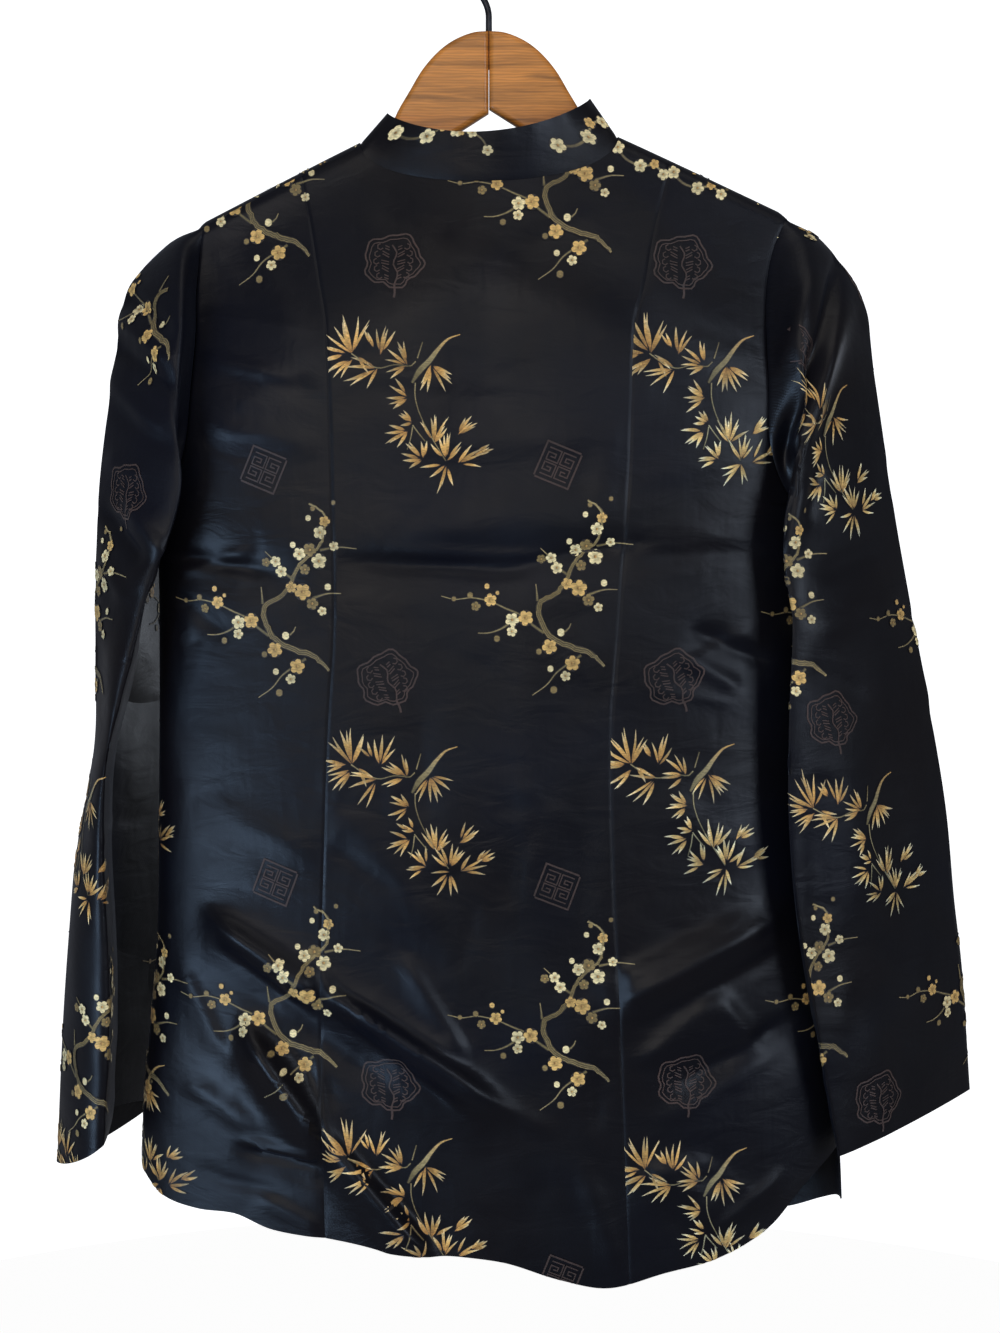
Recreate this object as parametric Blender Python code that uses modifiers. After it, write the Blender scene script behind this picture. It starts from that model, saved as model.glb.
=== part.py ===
"""Hip-length stand-collar jacket hanging on a mitred wooden hanger.

Frame: +Z up, +X to the right when the back of the jacket is looked at, and the
back of the jacket faces -Y.  The origin is the top of the hanger hook's inner
curve, where a rail holds it.  Sizes are in millimetres and become metres when
vertices are made.
"""
import bpy
import bmesh
from bisect import bisect
from collections import namedtuple
from math import acos, asin, cos, exp, hypot, pi, radians, sin, sqrt
from mathutils import Vector

MM = 0.001
COLLECTION = "tang_jacket_on_hanger"

# ---------------------------------------------------------------- cloth
WALL = 1.5
SEAM_HALF_GAP = 0.2
SHOULDER_HALF_GAP = 0.3
ARMHOLE_GAP = 0.8
SEAM_STRIP = 2.0
SIDE_POWER = 2.6
CREST_RADIUS = 10.0
WIDENING_DROP = 130.0

SIDE_SEAM_TURN = 0.0008
TOP_EDGE_SHARE = 0.22
HAND_NAME = {-1: "left", 1: "right"}

# rows and columns of the cloth's grids
ARMHOLE_ROWS = 12
SKIRT_ROWS = 16
SEAM_ROW = 0.006
CREST_ROWS = (0.03, 0.058, 0.086, 0.114)
SIDE_BACK_COLUMNS = 6
SLEEVE_ROWS = 21
COLLAR_ROWS = 3
BACK_SHOULDER_COLUMNS = 2
FRONT_SHOULDER_COLUMNS = 3
SECTION_STEPS = 300

# ---------------------------------------------------------------- shoulders
CREST_TOP = -100.0
CREST_SLOPE_RIGHT = 0.470
CREST_SLOPE_LEFT = 0.514
CREST_ROUNDING = 30.0
CREST_ROUNDING_LOSS = 3.0
SHOULDER_SEAM_ANGLE = 0.9

# ---------------------------------------------------------------- neck
NECK_HALF_WIDTH = 81.0
NECK_SIDE_HEIGHT = -141.3
NECK_BACK_DROP = 28.0
NECK_FRONT_DROP = 78.0
NECK_TILT = 0.023
# turns round the neck, from the back's middle, and the share across the panel below them
NeckColumn = namedtuple("NeckColumn", "share degrees")
NECK_BACK = (NeckColumn(0.0, 0.0), NeckColumn(0.25, 21.0), NeckColumn(0.48, 43.0),
             NeckColumn(0.63, 64.0), NeckColumn(0.71, 78.0), NeckColumn(0.78, 84.6))
NECK_FRONT = (NeckColumn(0.0, 180.0), NeckColumn(0.17, 156.0), NeckColumn(0.31, 133.0),
              NeckColumn(0.40, 114.0), NeckColumn(0.46, 102.0), NeckColumn(0.51, 94.5),
              NeckColumn(0.55, 91.2), NeckColumn(0.58, 90.0), NeckColumn(0.61, 87.0),
              NeckColumn(0.64, 84.6))
NECK_SEAM_TURN = radians(NECK_BACK[-1].degrees)
SEAM_TOP = {-1: -164.0, 1: -157.0}

# ---------------------------------------------------------------- body
BodySection = namedtuple("BodySection", "height centre half_width back front")
BODY = (
    BodySection(-900.0, 3.0, 237.0, 60.0, 56.0),
    BodySection(-770.0, 1.0, 231.0, 58.0, 54.0),
    BodySection(-660.0, -2.0, 217.0, 54.0, 52.0),
    BodySection(-540.0, -5.0, 210.0, 50.0, 50.0),
    BodySection(-430.0, -5.0, 208.0, 47.0, 48.0),
    BodySection(-372.0, -5.0, 208.0, 46.0, 48.0),
    BodySection(-250.0, -2.0, 205.0, 44.0, 46.0),
    BodySection(-130.0, 0.0, 205.0, 40.0, 42.0),
)

PrincessRow = namedtuple("PrincessRow", "height left right")
PRINCESS = (
    PrincessRow(-880.0, -105.0, 91.0),
    PrincessRow(-787.0, -106.5, 87.0),
    PrincessRow(-687.0, -107.5, 83.0),
    PrincessRow(-602.0, -105.0, 78.5),
    PrincessRow(-511.0, -101.5, 77.0),
    PrincessRow(-441.0, -97.0, 81.5),
    PrincessRow(-354.0, -97.8, 87.0),
    PrincessRow(-304.0, -98.6, 88.5),
    PrincessRow(-257.0, -100.6, 90.5),
    PrincessRow(-232.0, -105.0, 97.0),
    PrincessRow(-200.0, -110.5, 103.0),
    PrincessRow(-160.0, -118.0, 113.0),
)

UNDERARM_HEIGHT = -372.0
ArmholeRow = namedtuple("ArmholeRow", "share left right")
ARMHOLE = (
    ArmholeRow(0.0, -180.0, 187.0),
    ArmholeRow(0.12, -182.0, 179.0),
    ArmholeRow(0.25, -184.0, 174.5),
    ArmholeRow(0.40, -184.0, 173.5),
    ArmholeRow(0.60, -187.0, 175.0),
    ArmholeRow(0.80, -190.0, 176.0),
    ArmholeRow(1.0, -194.0, 180.0),
)
UNDERARM_CURVE_START = 0.72

HemRow = namedtuple("HemRow", "x back front")
HEM = (
    HemRow(-240.0, -800.0, -800.0),
    HemRow(-228.0, -809.0, -812.0),
    HemRow(-214.0, -820.0, -826.0),
    HemRow(-190.0, -825.0, -838.0),
    HemRow(-165.0, -826.0, -848.0),
    HemRow(-140.0, -835.0, -852.0),
    HemRow(-100.0, -840.0, -858.0),
    HemRow(-57.0, -847.0, -860.0),
    HemRow(7.0, -854.0, -862.0),
    HemRow(45.0, -866.0, -862.0),
    HemRow(77.0, -872.0, -860.0),
    HemRow(113.0, -863.0, -858.0),
    HemRow(149.0, -854.0, -857.0),
    HemRow(182.0, -836.0, -856.0),
    HemRow(205.0, -811.0, -854.0),
    HemRow(228.0, -792.0, -842.0),
    HemRow(240.0, -786.0, -832.0),
)

# main folds: a line from one end to the other, half width and height (troughs are negative)
Fold = namedtuple("Fold", "x1 z1 x2 z2 half_width height")
BACK_FOLDS = (
    Fold(-84.0, -411.0, 98.0, -396.0, 14.0, -3.5),
    Fold(-70.0, -388.0, 90.0, -374.0, 18.0, 2.5),
    Fold(-205.0, -405.0, -120.0, -416.0, 14.0, -3.0),
    Fold(-176.0, -636.0, -99.0, -682.0, 15.0, 6.0),
    Fold(-104.0, -680.0, 10.0, -750.0, 16.0, 5.0),
    Fold(-160.0, -668.0, -60.0, -738.0, 14.0, -4.0),
    Fold(-152.0, -705.0, -99.0, -783.0, 15.0, 6.0),
    Fold(-101.0, -780.0, -40.0, -850.0, 15.0, 4.0),
    Fold(-160.0, -786.0, -99.0, -797.0, 11.0, -4.0),
    Fold(82.0, -690.0, 195.0, -632.0, 16.0, 5.0),
    Fold(120.0, -742.0, 200.0, -706.0, 16.0, -4.0),
    Fold(100.0, -800.0, 150.0, -826.0, 18.0, 4.0),
    Fold(128.0, -452.0, 176.0, -476.0, 13.0, -3.0),
    Fold(-2.0, -200.0, -6.0, -420.0, 30.0, -2.0),
)
FRONT_FOLDS = (
    Fold(-150.0, -300.0, -40.0, -360.0, 18.0, 3.0),
    Fold(160.0, -320.0, 60.0, -372.0, 18.0, 3.0),
    Fold(-190.0, -430.0, -60.0, -450.0, 15.0, -3.0),
    Fold(190.0, -440.0, 70.0, -456.0, 15.0, -3.0),
    Fold(-185.0, -640.0, -50.0, -720.0, 17.0, 5.0),
    Fold(190.0, -620.0, 60.0, -700.0, 17.0, 5.0),
    Fold(150.0, -740.0, 70.0, -800.0, 16.0, -4.0),
)

# ---------------------------------------------------------------- sleeves
# a row for each section: the outer, back, inner and front points of the tube
SleeveSection = namedtuple("SleeveSection", "outer back inner front")
SLEEVE_RIGHT = (
    SleeveSection((212, 0, -204.5), (190, -42, -288), (211, 1, -375), (190, 42, -288)),
    SleeveSection((237, -3, -240), (193, -50, -326), (215, 2, -379), (197, 48, -325)),
    SleeveSection((246, -5, -292), (184, -55, -360), (219, 4, -386), (205, 54, -355)),
    SleeveSection((259, -8, -372), (182, -58, -398), (224, 8, -402), (222, 58, -395)),
    SleeveSection((270, -5, -425), (188, -59, -440), (229, 10, -442), (238, 60, -438)),
    SleeveSection((287, 0, -503), (187, -59, -502), (233, 14, -503), (256, 61, -503)),
    SleeveSection((301, 8, -570), (188, -58, -566), (240, 20, -567), (270, 62, -567)),
    SleeveSection((309, 12, -632), (194, -56, -626), (248, 22, -628), (281, 60, -630)),
    SleeveSection((317, 17, -684), (204, -53, -680), (255, 23, -681), (290, 57, -682)),
    SleeveSection((325, 20, -766), (225, -48, -788), (265, 18, -783), (303, 46, -774)),
)
SLEEVE_LEFT = (
    SleeveSection((-205, 0, -207), (-190, -42, -285), (-220, 1, -375), (-190, 42, -290)),
    SleeveSection((-231, -2, -238), (-192, -50, -322), (-223, 2, -379), (-198, 48, -325)),
    SleeveSection((-238, -10, -285), (-189, -56, -353), (-226, 2, -386), (-210, 52, -355)),
    SleeveSection((-247, -16, -352), (-196, -58, -384), (-228, 2, -402), (-222, 56, -390)),
    SleeveSection((-250, -20, -408), (-208, -58, -414), (-230, 2, -425), (-227, 58, -420)),
    SleeveSection((-252, -22, -470), (-222, -58, -465), (-232, 6, -470), (-226, 60, -472)),
    SleeveSection((-254, -22, -526), (-238, -57, -528), (-247, 14, -530), (-226, 60, -532)),
    SleeveSection((-266, -22, -594), (-242, -56, -588), (-254, 18, -592), (-229, 60, -596)),
    SleeveSection((-277, -22, -692), (-241, -55, -684), (-253, 18, -690), (-234, 60, -696)),
    SleeveSection((-285, -20, -802), (-247, -55, -778), (-257, 15, -777), (-242, 58, -791)),
)
# how flat each quarter of a section is: 1 is round, 2 is straight between its two points
FLATNESS = {"outer_back": 1.15, "back_inner": 1.75, "inner_front": 1.4, "front_outer": 1.2}
FLAT_FROM_SECTION = 4

# ---------------------------------------------------------------- collar
COLLAR_TOP_HALF_WIDTH = 64.0
COLLAR_TOP_BACK_DEPTH = 27.0
COLLAR_TOP_FRONT_DEPTH = 38.0
COLLAR_TOP_SIDE_HEIGHT = -120.0
COLLAR_TOP_BACK_DROP = 19.4
COLLAR_TOP_FRONT_DROP = 66.0
COLLAR_TILT = 0.07
COLLAR_FRONT_GAP = 0.6

# ---------------------------------------------------------------- frogs
FROG_COUNT = 5
FROG_TOP = -246.0
FROG_PITCH = 92.0
FROG_LENGTH = 40.0
FROG_CORD_RADIUS = 1.5
FROG_CORD_SPREAD = 2.1
FROG_KNOT_RADIUS = 4.6
FROG_LIFT = 0.35
FROG_EYE_RISE = 3.5
FROG_STEPS = 3
FROG_EYE_STEPS = 9

# ---------------------------------------------------------------- hanger
HANGER_THICKNESS = 12.0
HANGER_EDGE = 3.2
HANGER_CLEARANCE = 1.3
HANGER_MITRE_HALF_GAP = 0.15
HumpPoint = namedtuple("HumpPoint", "x height")
HANGER_HUMP = (HumpPoint(0.0, -75.0), HumpPoint(10.0, -75.9), HumpPoint(22.0, -80.6),
               HumpPoint(32.0, -87.8), HumpPoint(42.0, -99.0), HumpPoint(50.0, -112.0),
               HumpPoint(57.0, -123.5), HumpPoint(61.0, -132.0), HumpPoint(65.0, -138.5),
               HumpPoint(71.0, -142.8), HumpPoint(78.0, -146.4))
HANGER_NECK_DIP = 3.4
HANGER_DIP_START = 84.0
HANGER_DIP_FADE = 26.0
HANGER_PITCH = 6.0
HANGER_COUNT = 29
HANGER_TIP = 6.0
HANGER_NECK_DEPTH = 27.0
HANGER_NOTCH_REACH = 60.0
HANGER_NOTCH_SLOPE = 0.62
HANGER_END_DEPTH = 20.0
WIRE_RADIUS = 2.0
HOOK_RADIUS = 24.0
STEM_CLEARANCE = 0.3
STEM_FOOT = -98.0
STEM_BEND = -66.0
HOOK_START = 222.0
HOOK_END = -42.0
HOOK_STEPS = 20


# ================================================================ numbers
def mix(a, b, share):
    return a + (b - a) * share


def smoothstep(share):
    share = min(max(share, 0.0), 1.0)
    return share * share * (3.0 - 2.0 * share)


def sign(value):
    return -1.0 if value < 0.0 else 1.0


def neck_turn(columns, share):
    """The turn round the neck at a share across a panel, straight between its columns."""
    for before, after in zip(columns, columns[1:]):
        if share <= after.share:
            break
    return radians(mix(before.degrees, after.degrees,
                       (share - before.share) / (after.share - before.share)))


def lookup(rows, at, column):
    """Read one column of a table, smoothly, at a value of its first column."""
    keys = [row[0] for row in rows]
    values = [getattr(row, column) for row in rows]
    last = len(rows) - 1
    at = min(max(at, keys[0]), keys[last])
    k = 0
    while k < last - 1 and at > keys[k + 1]:
        k += 1
    before, after = max(k - 1, 0), min(k + 2, last)
    span = keys[k + 1] - keys[k]
    slope_a = (values[k + 1] - values[before]) / (keys[k + 1] - keys[before]) * span
    slope_b = (values[after] - values[k]) / (keys[after] - keys[k]) * span
    t = (at - keys[k]) / span
    return (values[k] * (2 * t ** 3 - 3 * t ** 2 + 1) + slope_a * (t ** 3 - 2 * t ** 2 + t)
            + values[k + 1] * (3 * t ** 2 - 2 * t ** 3) + slope_b * (t ** 3 - t ** 2))


# ================================================================ the body's cloth
def crest(x):
    """Height of the top of the shoulders at x, rounded off over the open neck."""
    slope = mix(CREST_SLOPE_LEFT, CREST_SLOPE_RIGHT, smoothstep(0.5 + x / NECK_HALF_WIDTH / 2))
    return CREST_TOP - slope * (hypot(x, CREST_ROUNDING) - CREST_ROUNDING_LOSS)


def over_shoulder(reach):
    """Depth and drop of cloth at a distance over the crest: back negative, front positive."""
    quarter = CREST_RADIUS * pi / 2
    bend = min(max(reach, -quarter), quarter) / CREST_RADIUS
    drop = CREST_RADIUS * (1.0 - cos(bend)) + max(abs(reach) - quarter, 0.0)
    return CREST_RADIUS * sin(bend), drop


def reach_at(x, height, side):
    """The distance over the crest at which the cloth has this height; side is -1 back, 1 front."""
    drop = max(crest(x) - height, 0.0)
    if drop < CREST_RADIUS:
        return side * CREST_RADIUS * acos(1.0 - drop / CREST_RADIUS)
    return side * (CREST_RADIUS * pi / 2 + drop - CREST_RADIUS)


def fold_height(folds, x, z):
    total = 0.0
    for fold in folds:
        dx, dz = fold.x2 - fold.x1, fold.z2 - fold.z1
        length = hypot(dx, dz)
        along = ((x - fold.x1) * dx + (z - fold.z1) * dz) / length
        across = ((x - fold.x1) * dz - (z - fold.z1) * dx) / length
        fade = smoothstep((along + 0.15 * length) / (0.4 * length))
        fade *= smoothstep((1.15 * length - along) / (0.4 * length))
        total += fold.height * fade * exp(-(across / fold.half_width) ** 2)
    return total


def turn_of(x, height):
    """The turn round the body's section, 0 at its middle and a right angle at its side."""
    share = (x - lookup(BODY, height, "centre")) / lookup(BODY, height, "half_width")
    return sign(share) * asin(min(abs(share), 1.0) ** (SIDE_POWER / 2))


def across_of(turn, height):
    share = sign(turn) * abs(sin(turn)) ** (2 / SIDE_POWER)
    return lookup(BODY, height, "centre") + lookup(BODY, height, "half_width") * share


def section_lengths():
    """Distance round a typical quarter section, from its middle, at evenly spaced turns."""
    wide, deep = BODY[4].half_width, BODY[4].back
    lengths, last = [], (0.0, deep)
    for k in range(SECTION_STEPS + 1):
        turn = k / SECTION_STEPS * pi / 2
        here = (wide * sin(turn) ** (2 / SIDE_POWER), deep * max(cos(turn), 0.0) ** (2 / SIDE_POWER))
        lengths.append((lengths[-1] if lengths else 0.0) + hypot(here[0] - last[0], here[1] - last[1]))
        last = here
    return lengths


def length_of(turn):
    place = min(abs(turn) / (pi / 2), 1.0) * SECTION_STEPS
    k = min(int(place), SECTION_STEPS - 1)
    return sign(turn) * mix(SECTION_LENGTHS[k], SECTION_LENGTHS[k + 1], place - k)


def turn_at(length):
    k = min(max(bisect(SECTION_LENGTHS, abs(length)) - 1, 0), SECTION_STEPS - 1)
    step = (abs(length) - SECTION_LENGTHS[k]) / (SECTION_LENGTHS[k + 1] - SECTION_LENGTHS[k])
    return sign(length) * min((k + step) / SECTION_STEPS, 1.0) * pi / 2


def mix_turns(first, last, share):
    """The turn at a share of the way round the cloth between two turns."""
    if share in (0.0, 1.0):
        return last if share else first
    return turn_at(mix(length_of(first), length_of(last), share))


SECTION_LENGTHS = section_lengths()


def body_point(turn, x, reach):
    """The outer face of the cloth."""
    out, drop = over_shoulder(reach)
    z = crest(x) - drop
    side = sign(reach)
    depth = lookup(BODY, z, "back" if side < 0 else "front")
    widening = smoothstep(drop / WIDENING_DROP)
    level = abs(cos(turn)) ** (2 / SIDE_POWER)
    y = out * (1.0 - widening * (1.0 - level)) + side * (depth - CREST_RADIUS) * widening * level
    folds = BACK_FOLDS if side < 0 else FRONT_FOLDS
    y += side * fold_height(folds, x, z) * sqrt(level) * widening
    return Vector((x, y, z))


def neck_edge(alpha):
    """The neckline: its x and its distance over the crest; alpha runs from the back's middle."""
    x = NECK_HALF_WIDTH * sin(alpha)
    level = cos(alpha)
    fall = NECK_BACK_DROP * abs(level) ** 0.9 if level > 0 else NECK_FRONT_DROP * abs(level) ** 1.1
    height = NECK_SIDE_HEIGHT - fall + NECK_TILT * x
    return x, reach_at(x, height, -1.0 if level > 0 else 1.0)


def armhole_across(hand, share):
    """x of the armhole seam at a share of its way down; it curves out to the underarm."""
    column = "right" if hand > 0 else "left"
    x = lookup(ARMHOLE, share, column)
    underarm = across_of(hand * pi / 2, UNDERARM_HEIGHT)
    turn = min(max((share - UNDERARM_CURVE_START) / (1.0 - UNDERARM_CURVE_START), 0.0), 1.0)
    return x + (underarm - x) * (1.0 - sqrt(1.0 - turn * turn))


class Panel:
    """A stretch of the body's cloth between two long edges.

    s runs across it from its first edge to its last and v runs down it from its top
    edge to the hem.  side is -1 on the back and 1 on the front.
    """

    def __init__(self, side, edges, top):
        self.side = side
        self.edges = edges
        self.top = top

    def hem_reach(self, x):
        column = "back" if self.side < 0 else "front"
        return reach_at(x, lookup(HEM, x, column), self.side)

    def edge(self, number, v):
        """Turn, x and height of a long edge at v; the seam's half gap is taken off."""
        kind, hand = self.edges[number]
        inward = 1.0 if number == 0 else -1.0
        top_reach = self.top(self, float(number))[1]
        x, z, turn = hand * 100.0, -200.0, 0.0
        for _ in range(12):
            if kind == "middle":
                x = inward * SEAM_HALF_GAP
            elif kind == "princess":
                x = lookup(PRINCESS, z, HAND_NAME[hand]) + inward * SEAM_HALF_GAP
            elif v < underarm_share(self.side, hand):
                x = armhole_across(hand, v / underarm_share(self.side, hand))
                x -= hand * SEAM_HALF_GAP
            else:
                x = across_of(hand * (pi / 2 - SIDE_SEAM_TURN), z)
            turn = turn_of(x, z)
            reach = mix(top_reach, self.hem_reach(x), v)
            z = crest(x) - over_shoulder(reach)[1]
        return turn, x, z

    def point(self, s, v):
        top_x, top_reach = self.top(self, s)
        first, last = self.edge(0, v), self.edge(1, v)
        turn = mix_turns(first[0], last[0], s)
        z = mix(first[2], last[2], s)
        pull = 0.0
        if v < TOP_EDGE_SHARE:
            top_z = crest(top_x) - over_shoulder(top_reach)[1]
            free = across_of(mix_turns(self.edge(0, 0.0)[0], self.edge(1, 0.0)[0], s), top_z)
            pull = (top_x - free) * (1.0 - v / TOP_EDGE_SHARE) ** 2
        for _ in range(10):
            x = across_of(turn, z) + pull
            reach = mix(top_reach, self.hem_reach(x), v)
            z = crest(x) - over_shoulder(reach)[1]
        return body_point(turn, x, reach)


def seam_reach(side):
    """Distance of the shoulder seam behind the crest, for the piece on this side of it."""
    return -CREST_RADIUS * SHOULDER_SEAM_ANGLE + side * SHOULDER_HALF_GAP


def underarm_share(side, hand):
    """How far down a side panel the underarm is."""
    x = across_of(hand * pi / 2, UNDERARM_HEIGHT)
    top = seam_reach(side)
    bottom = reach_at(x, lookup(HEM, x, "back" if side < 0 else "front"), side)
    return (reach_at(x, UNDERARM_HEIGHT, side) - top) / (bottom - top)


def top_of_centre_back(panel, s):
    """The shoulder seam, the back of the neck and the other shoulder seam."""
    hand = sign(s - 0.5)
    share = abs(2.0 * s - 1.0)
    corner = NECK_BACK[-1].share
    if share <= corner:
        x, reach = neck_edge(hand * neck_turn(NECK_BACK, share))
        return x, min(reach, seam_reach(-1))
    start = hand * NECK_HALF_WIDTH * sin(NECK_SEAM_TURN)
    end = lookup(PRINCESS, SEAM_TOP[hand], HAND_NAME[hand]) - hand * SEAM_HALF_GAP
    return mix(start, end, (share - corner) / (1.0 - corner)), seam_reach(-1)


def top_of_side_back(hand):
    """The shoulder seam from the princess seam to the armhole, first edge on the left."""
    inner = lookup(PRINCESS, SEAM_TOP[hand], HAND_NAME[hand]) + hand * SEAM_HALF_GAP
    outer = armhole_across(hand, 0.0) - hand * SEAM_HALF_GAP
    first, last = (inner, outer) if hand > 0 else (outer, inner)

    def top(panel, s):
        return mix(first, last, s), seam_reach(-1)
    return top


def top_of_front(hand):
    """The front of the neck and the shoulder seam."""
    start = hand * NECK_HALF_WIDTH * sin(NECK_SEAM_TURN)
    outer = armhole_across(hand, 0.0) - hand * SEAM_HALF_GAP
    corner = NECK_FRONT[-1].share

    def top(panel, s):
        share = s if hand > 0 else 1.0 - s
        if share <= corner:
            x, reach = neck_edge(hand * neck_turn(NECK_FRONT, share))
            return x + hand * SEAM_HALF_GAP * (1.0 - share / corner), max(reach, seam_reach(1))
        return mix(start, outer, (share - corner) / (1.0 - corner)), seam_reach(1)
    return top


def rows_down(side, hand):
    """v of each row of vertices: close at the shoulder and the underarm, then even to the hem."""
    underarm = underarm_share(side, hand)
    crest_rows = CREST_ROWS if side > 0 else ()
    shares = [0.0, SEAM_ROW, *crest_rows]
    first = acos(1.0 - 2.0 * shares[-1])
    count = ARMHOLE_ROWS - len(crest_rows) // 2
    shares += [(1.0 - cos(mix(first, pi, k / count))) / 2.0 for k in range(1, count + 1)]
    rows = [share * underarm for share in shares]
    return rows + [mix(underarm, 1.0, k / SKIRT_ROWS) for k in range(1, SKIRT_ROWS + 1)]


def shares_across(neck, steps, strip, mirrored=False):
    """Shares across a panel: its neck columns, even steps beyond them and a narrow strip at a seam."""
    start = neck[-1]
    shares = list(neck) + [mix(start, 1.0, k / steps) for k in range(1, steps + 1)]
    shares[-1:] = [1.0 - strip, 1.0]
    return [1.0 - share for share in reversed(shares)] if mirrored else shares


# ================================================================ making meshes
def material(name, colour, roughness, metallic=0.0):
    made = bpy.data.materials.new(name)
    made.use_nodes = True
    shader = made.node_tree.nodes["Principled BSDF"]
    shader.inputs["Base Color"].default_value = (*colour, 1.0)
    shader.inputs["Roughness"].default_value = roughness
    shader.inputs["Metallic"].default_value = metallic
    return made


def add_object(name, data, surface, collection):
    made = bpy.data.objects.new(name, data)
    data.materials.append(surface)
    collection.objects.link(made)
    return made


def cloth(name, points, surface, collection, closed=False):
    """A wall of cloth: a grid laid over rows of points, thickened inwards.

    Each row runs left to right as its outer face is looked at, and rows go downwards.
    """
    across, down = len(points[0]), len(points)
    bm = bmesh.new()
    bmesh.ops.create_grid(bm, x_segments=across - 1, y_segments=down - 1, size=0.5)
    for vertex in bm.verts:
        column = round((vertex.co.x + 0.5) * (across - 1))
        row = round((0.5 - vertex.co.y) * (down - 1))
        vertex.co = points[row][column] * MM
    if closed:
        bmesh.ops.remove_doubles(bm, verts=bm.verts, dist=1e-6)
    mesh = bpy.data.meshes.new(name)
    bm.to_mesh(mesh)
    bm.free()
    mesh.shade_smooth()
    made = add_object(name, mesh, surface, collection)
    wall = made.modifiers.new("wall", "SOLIDIFY")
    wall.thickness = WALL * MM
    wall.offset = -1.0
    return made


def tube(name, points, radius, surface, collection, cyclic=False, sides=2):
    data = bpy.data.curves.new(name, "CURVE")
    data.dimensions = "3D"
    data.bevel_depth = radius * MM
    data.bevel_resolution = sides
    data.use_fill_caps = not cyclic
    spline = data.splines.new("POLY")
    spline.points.add(len(points) - 1)
    for target, point in zip(spline.points, points):
        target.co = (*(Vector(point) * MM), 1.0)
    spline.use_cyclic_u = cyclic
    return add_object(name, data, surface, collection)


def as_mesh(source):
    """Replace a curve object by a mesh of the same name, with its caps welded."""
    name, surface = source.name, source.data.materials[0]
    collection = source.users_collection[0]
    bpy.context.view_layer.update()
    evaluated = source.evaluated_get(bpy.context.evaluated_depsgraph_get())
    mesh = bpy.data.meshes.new_from_object(evaluated)
    bm = bmesh.new()
    bm.from_mesh(mesh)
    bmesh.ops.remove_doubles(bm, verts=bm.verts, dist=1e-6)
    bm.to_mesh(mesh)
    bm.free()
    placed = source.matrix_world.copy()
    bpy.data.objects.remove(source)
    made = bpy.data.objects.new(name, mesh)
    made.matrix_world = placed
    if not mesh.materials:
        mesh.materials.append(surface)
    collection.objects.link(made)
    made.name = name
    return made


def boolean(target, other, operation):
    step = target.modifiers.new(operation.lower(), "BOOLEAN")
    step.operation = operation
    step.object = other
    step.solver = "EXACT"
    other.hide_render = True
    other.display_type = "WIRE"


# ================================================================ the jacket's pieces
def grid(panel, shares, left_rows, right_rows):
    return [[panel.point(s, mix(a, b, s)) for s in shares] for a, b in zip(left_rows, right_rows)]


def make_back(surface, collection):
    rows = {hand: rows_down(-1, hand) for hand in (-1, 1)}
    centre = Panel(-1, (("princess", -1), ("princess", 1)), top_of_centre_back)
    neck = [column.share for column in NECK_BACK]
    half = shares_across(neck, BACK_SHOULDER_COLUMNS, SEAM_STRIP / 100.0)
    shares = [0.5 - s / 2 for s in reversed(half[1:])] + [0.5 + s / 2 for s in half]
    cloth("back_centre", grid(centre, shares, rows[-1], rows[1]), surface, collection)
    for hand in (-1, 1):
        edges = (("princess", 1), ("side", 1)) if hand > 0 else (("side", -1), ("princess", -1))
        panel = Panel(-1, edges, top_of_side_back(hand))
        strip = SEAM_STRIP / 100.0
        shares = shares_across((0.0, strip, 1.0 / SIDE_BACK_COLUMNS), SIDE_BACK_COLUMNS - 1, strip)
        points = grid(panel, shares, rows[hand], rows[hand])
        cloth("back_side_" + HAND_NAME[hand], points, surface, collection)


def make_fronts(surface, collection):
    for hand in (-1, 1):
        edges = (("middle", 1), ("side", 1)) if hand > 0 else (("side", -1), ("middle", -1))
        panel = Panel(1, edges, top_of_front(hand))
        rows = rows_down(1, hand)
        neck = [column.share for column in NECK_FRONT]
        shares = shares_across(neck, FRONT_SHOULDER_COLUMNS, SEAM_STRIP / 200.0, hand < 0)
        points = [list(reversed(row)) for row in grid(panel, shares, rows, rows)]
        cloth("front_" + HAND_NAME[hand], points, surface, collection)


def armhole_ring(hand):
    """Points of the armhole seam round the sleeve's top: turn, point and the way out of the panel."""
    edge, inside = (1.0, 1.0 - SEAM_STRIP / 100.0) if hand > 0 else (0.0, SEAM_STRIP / 100.0)
    ring = []
    for side in (-1, 1):
        inner = "princess" if side < 0 else "middle"
        edges = ((inner, 1), ("side", 1)) if hand > 0 else (("side", -1), (inner, -1))
        panel = Panel(side, edges, top_of_side_back(hand) if side < 0 else top_of_front(hand))
        underarm = underarm_share(side, hand)
        part = []
        for v in rows_down(side, hand)[:-SKIRT_ROWS]:
            turn = acos(1.0 - 2.0 * min(v / underarm, 1.0))
            seam = panel.point(edge, v)
            outward = seam - panel.point(inside, v)
            part.append((turn if side < 0 else 2 * pi - turn, seam, outward))
        ring += part[:-1] if side < 0 else list(reversed(part))[:-1]
    return ring


def section_point(section, turn, flat):
    """A point of a sleeve's section: 0 is its outer point, a quarter turn its back."""
    corners = [Vector(corner) for corner in section]
    middle = (corners[0] + corners[2]) / 2
    quarter = int(turn / (pi / 2)) % 4
    power = mix(1.0, list(FLATNESS.values())[quarter], flat)
    angle = turn - quarter * pi / 2
    start, end = corners[quarter], corners[(quarter + 1) % 4]
    return middle + (start - middle) * cos(angle) ** power + (end - middle) * sin(angle) ** power


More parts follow.
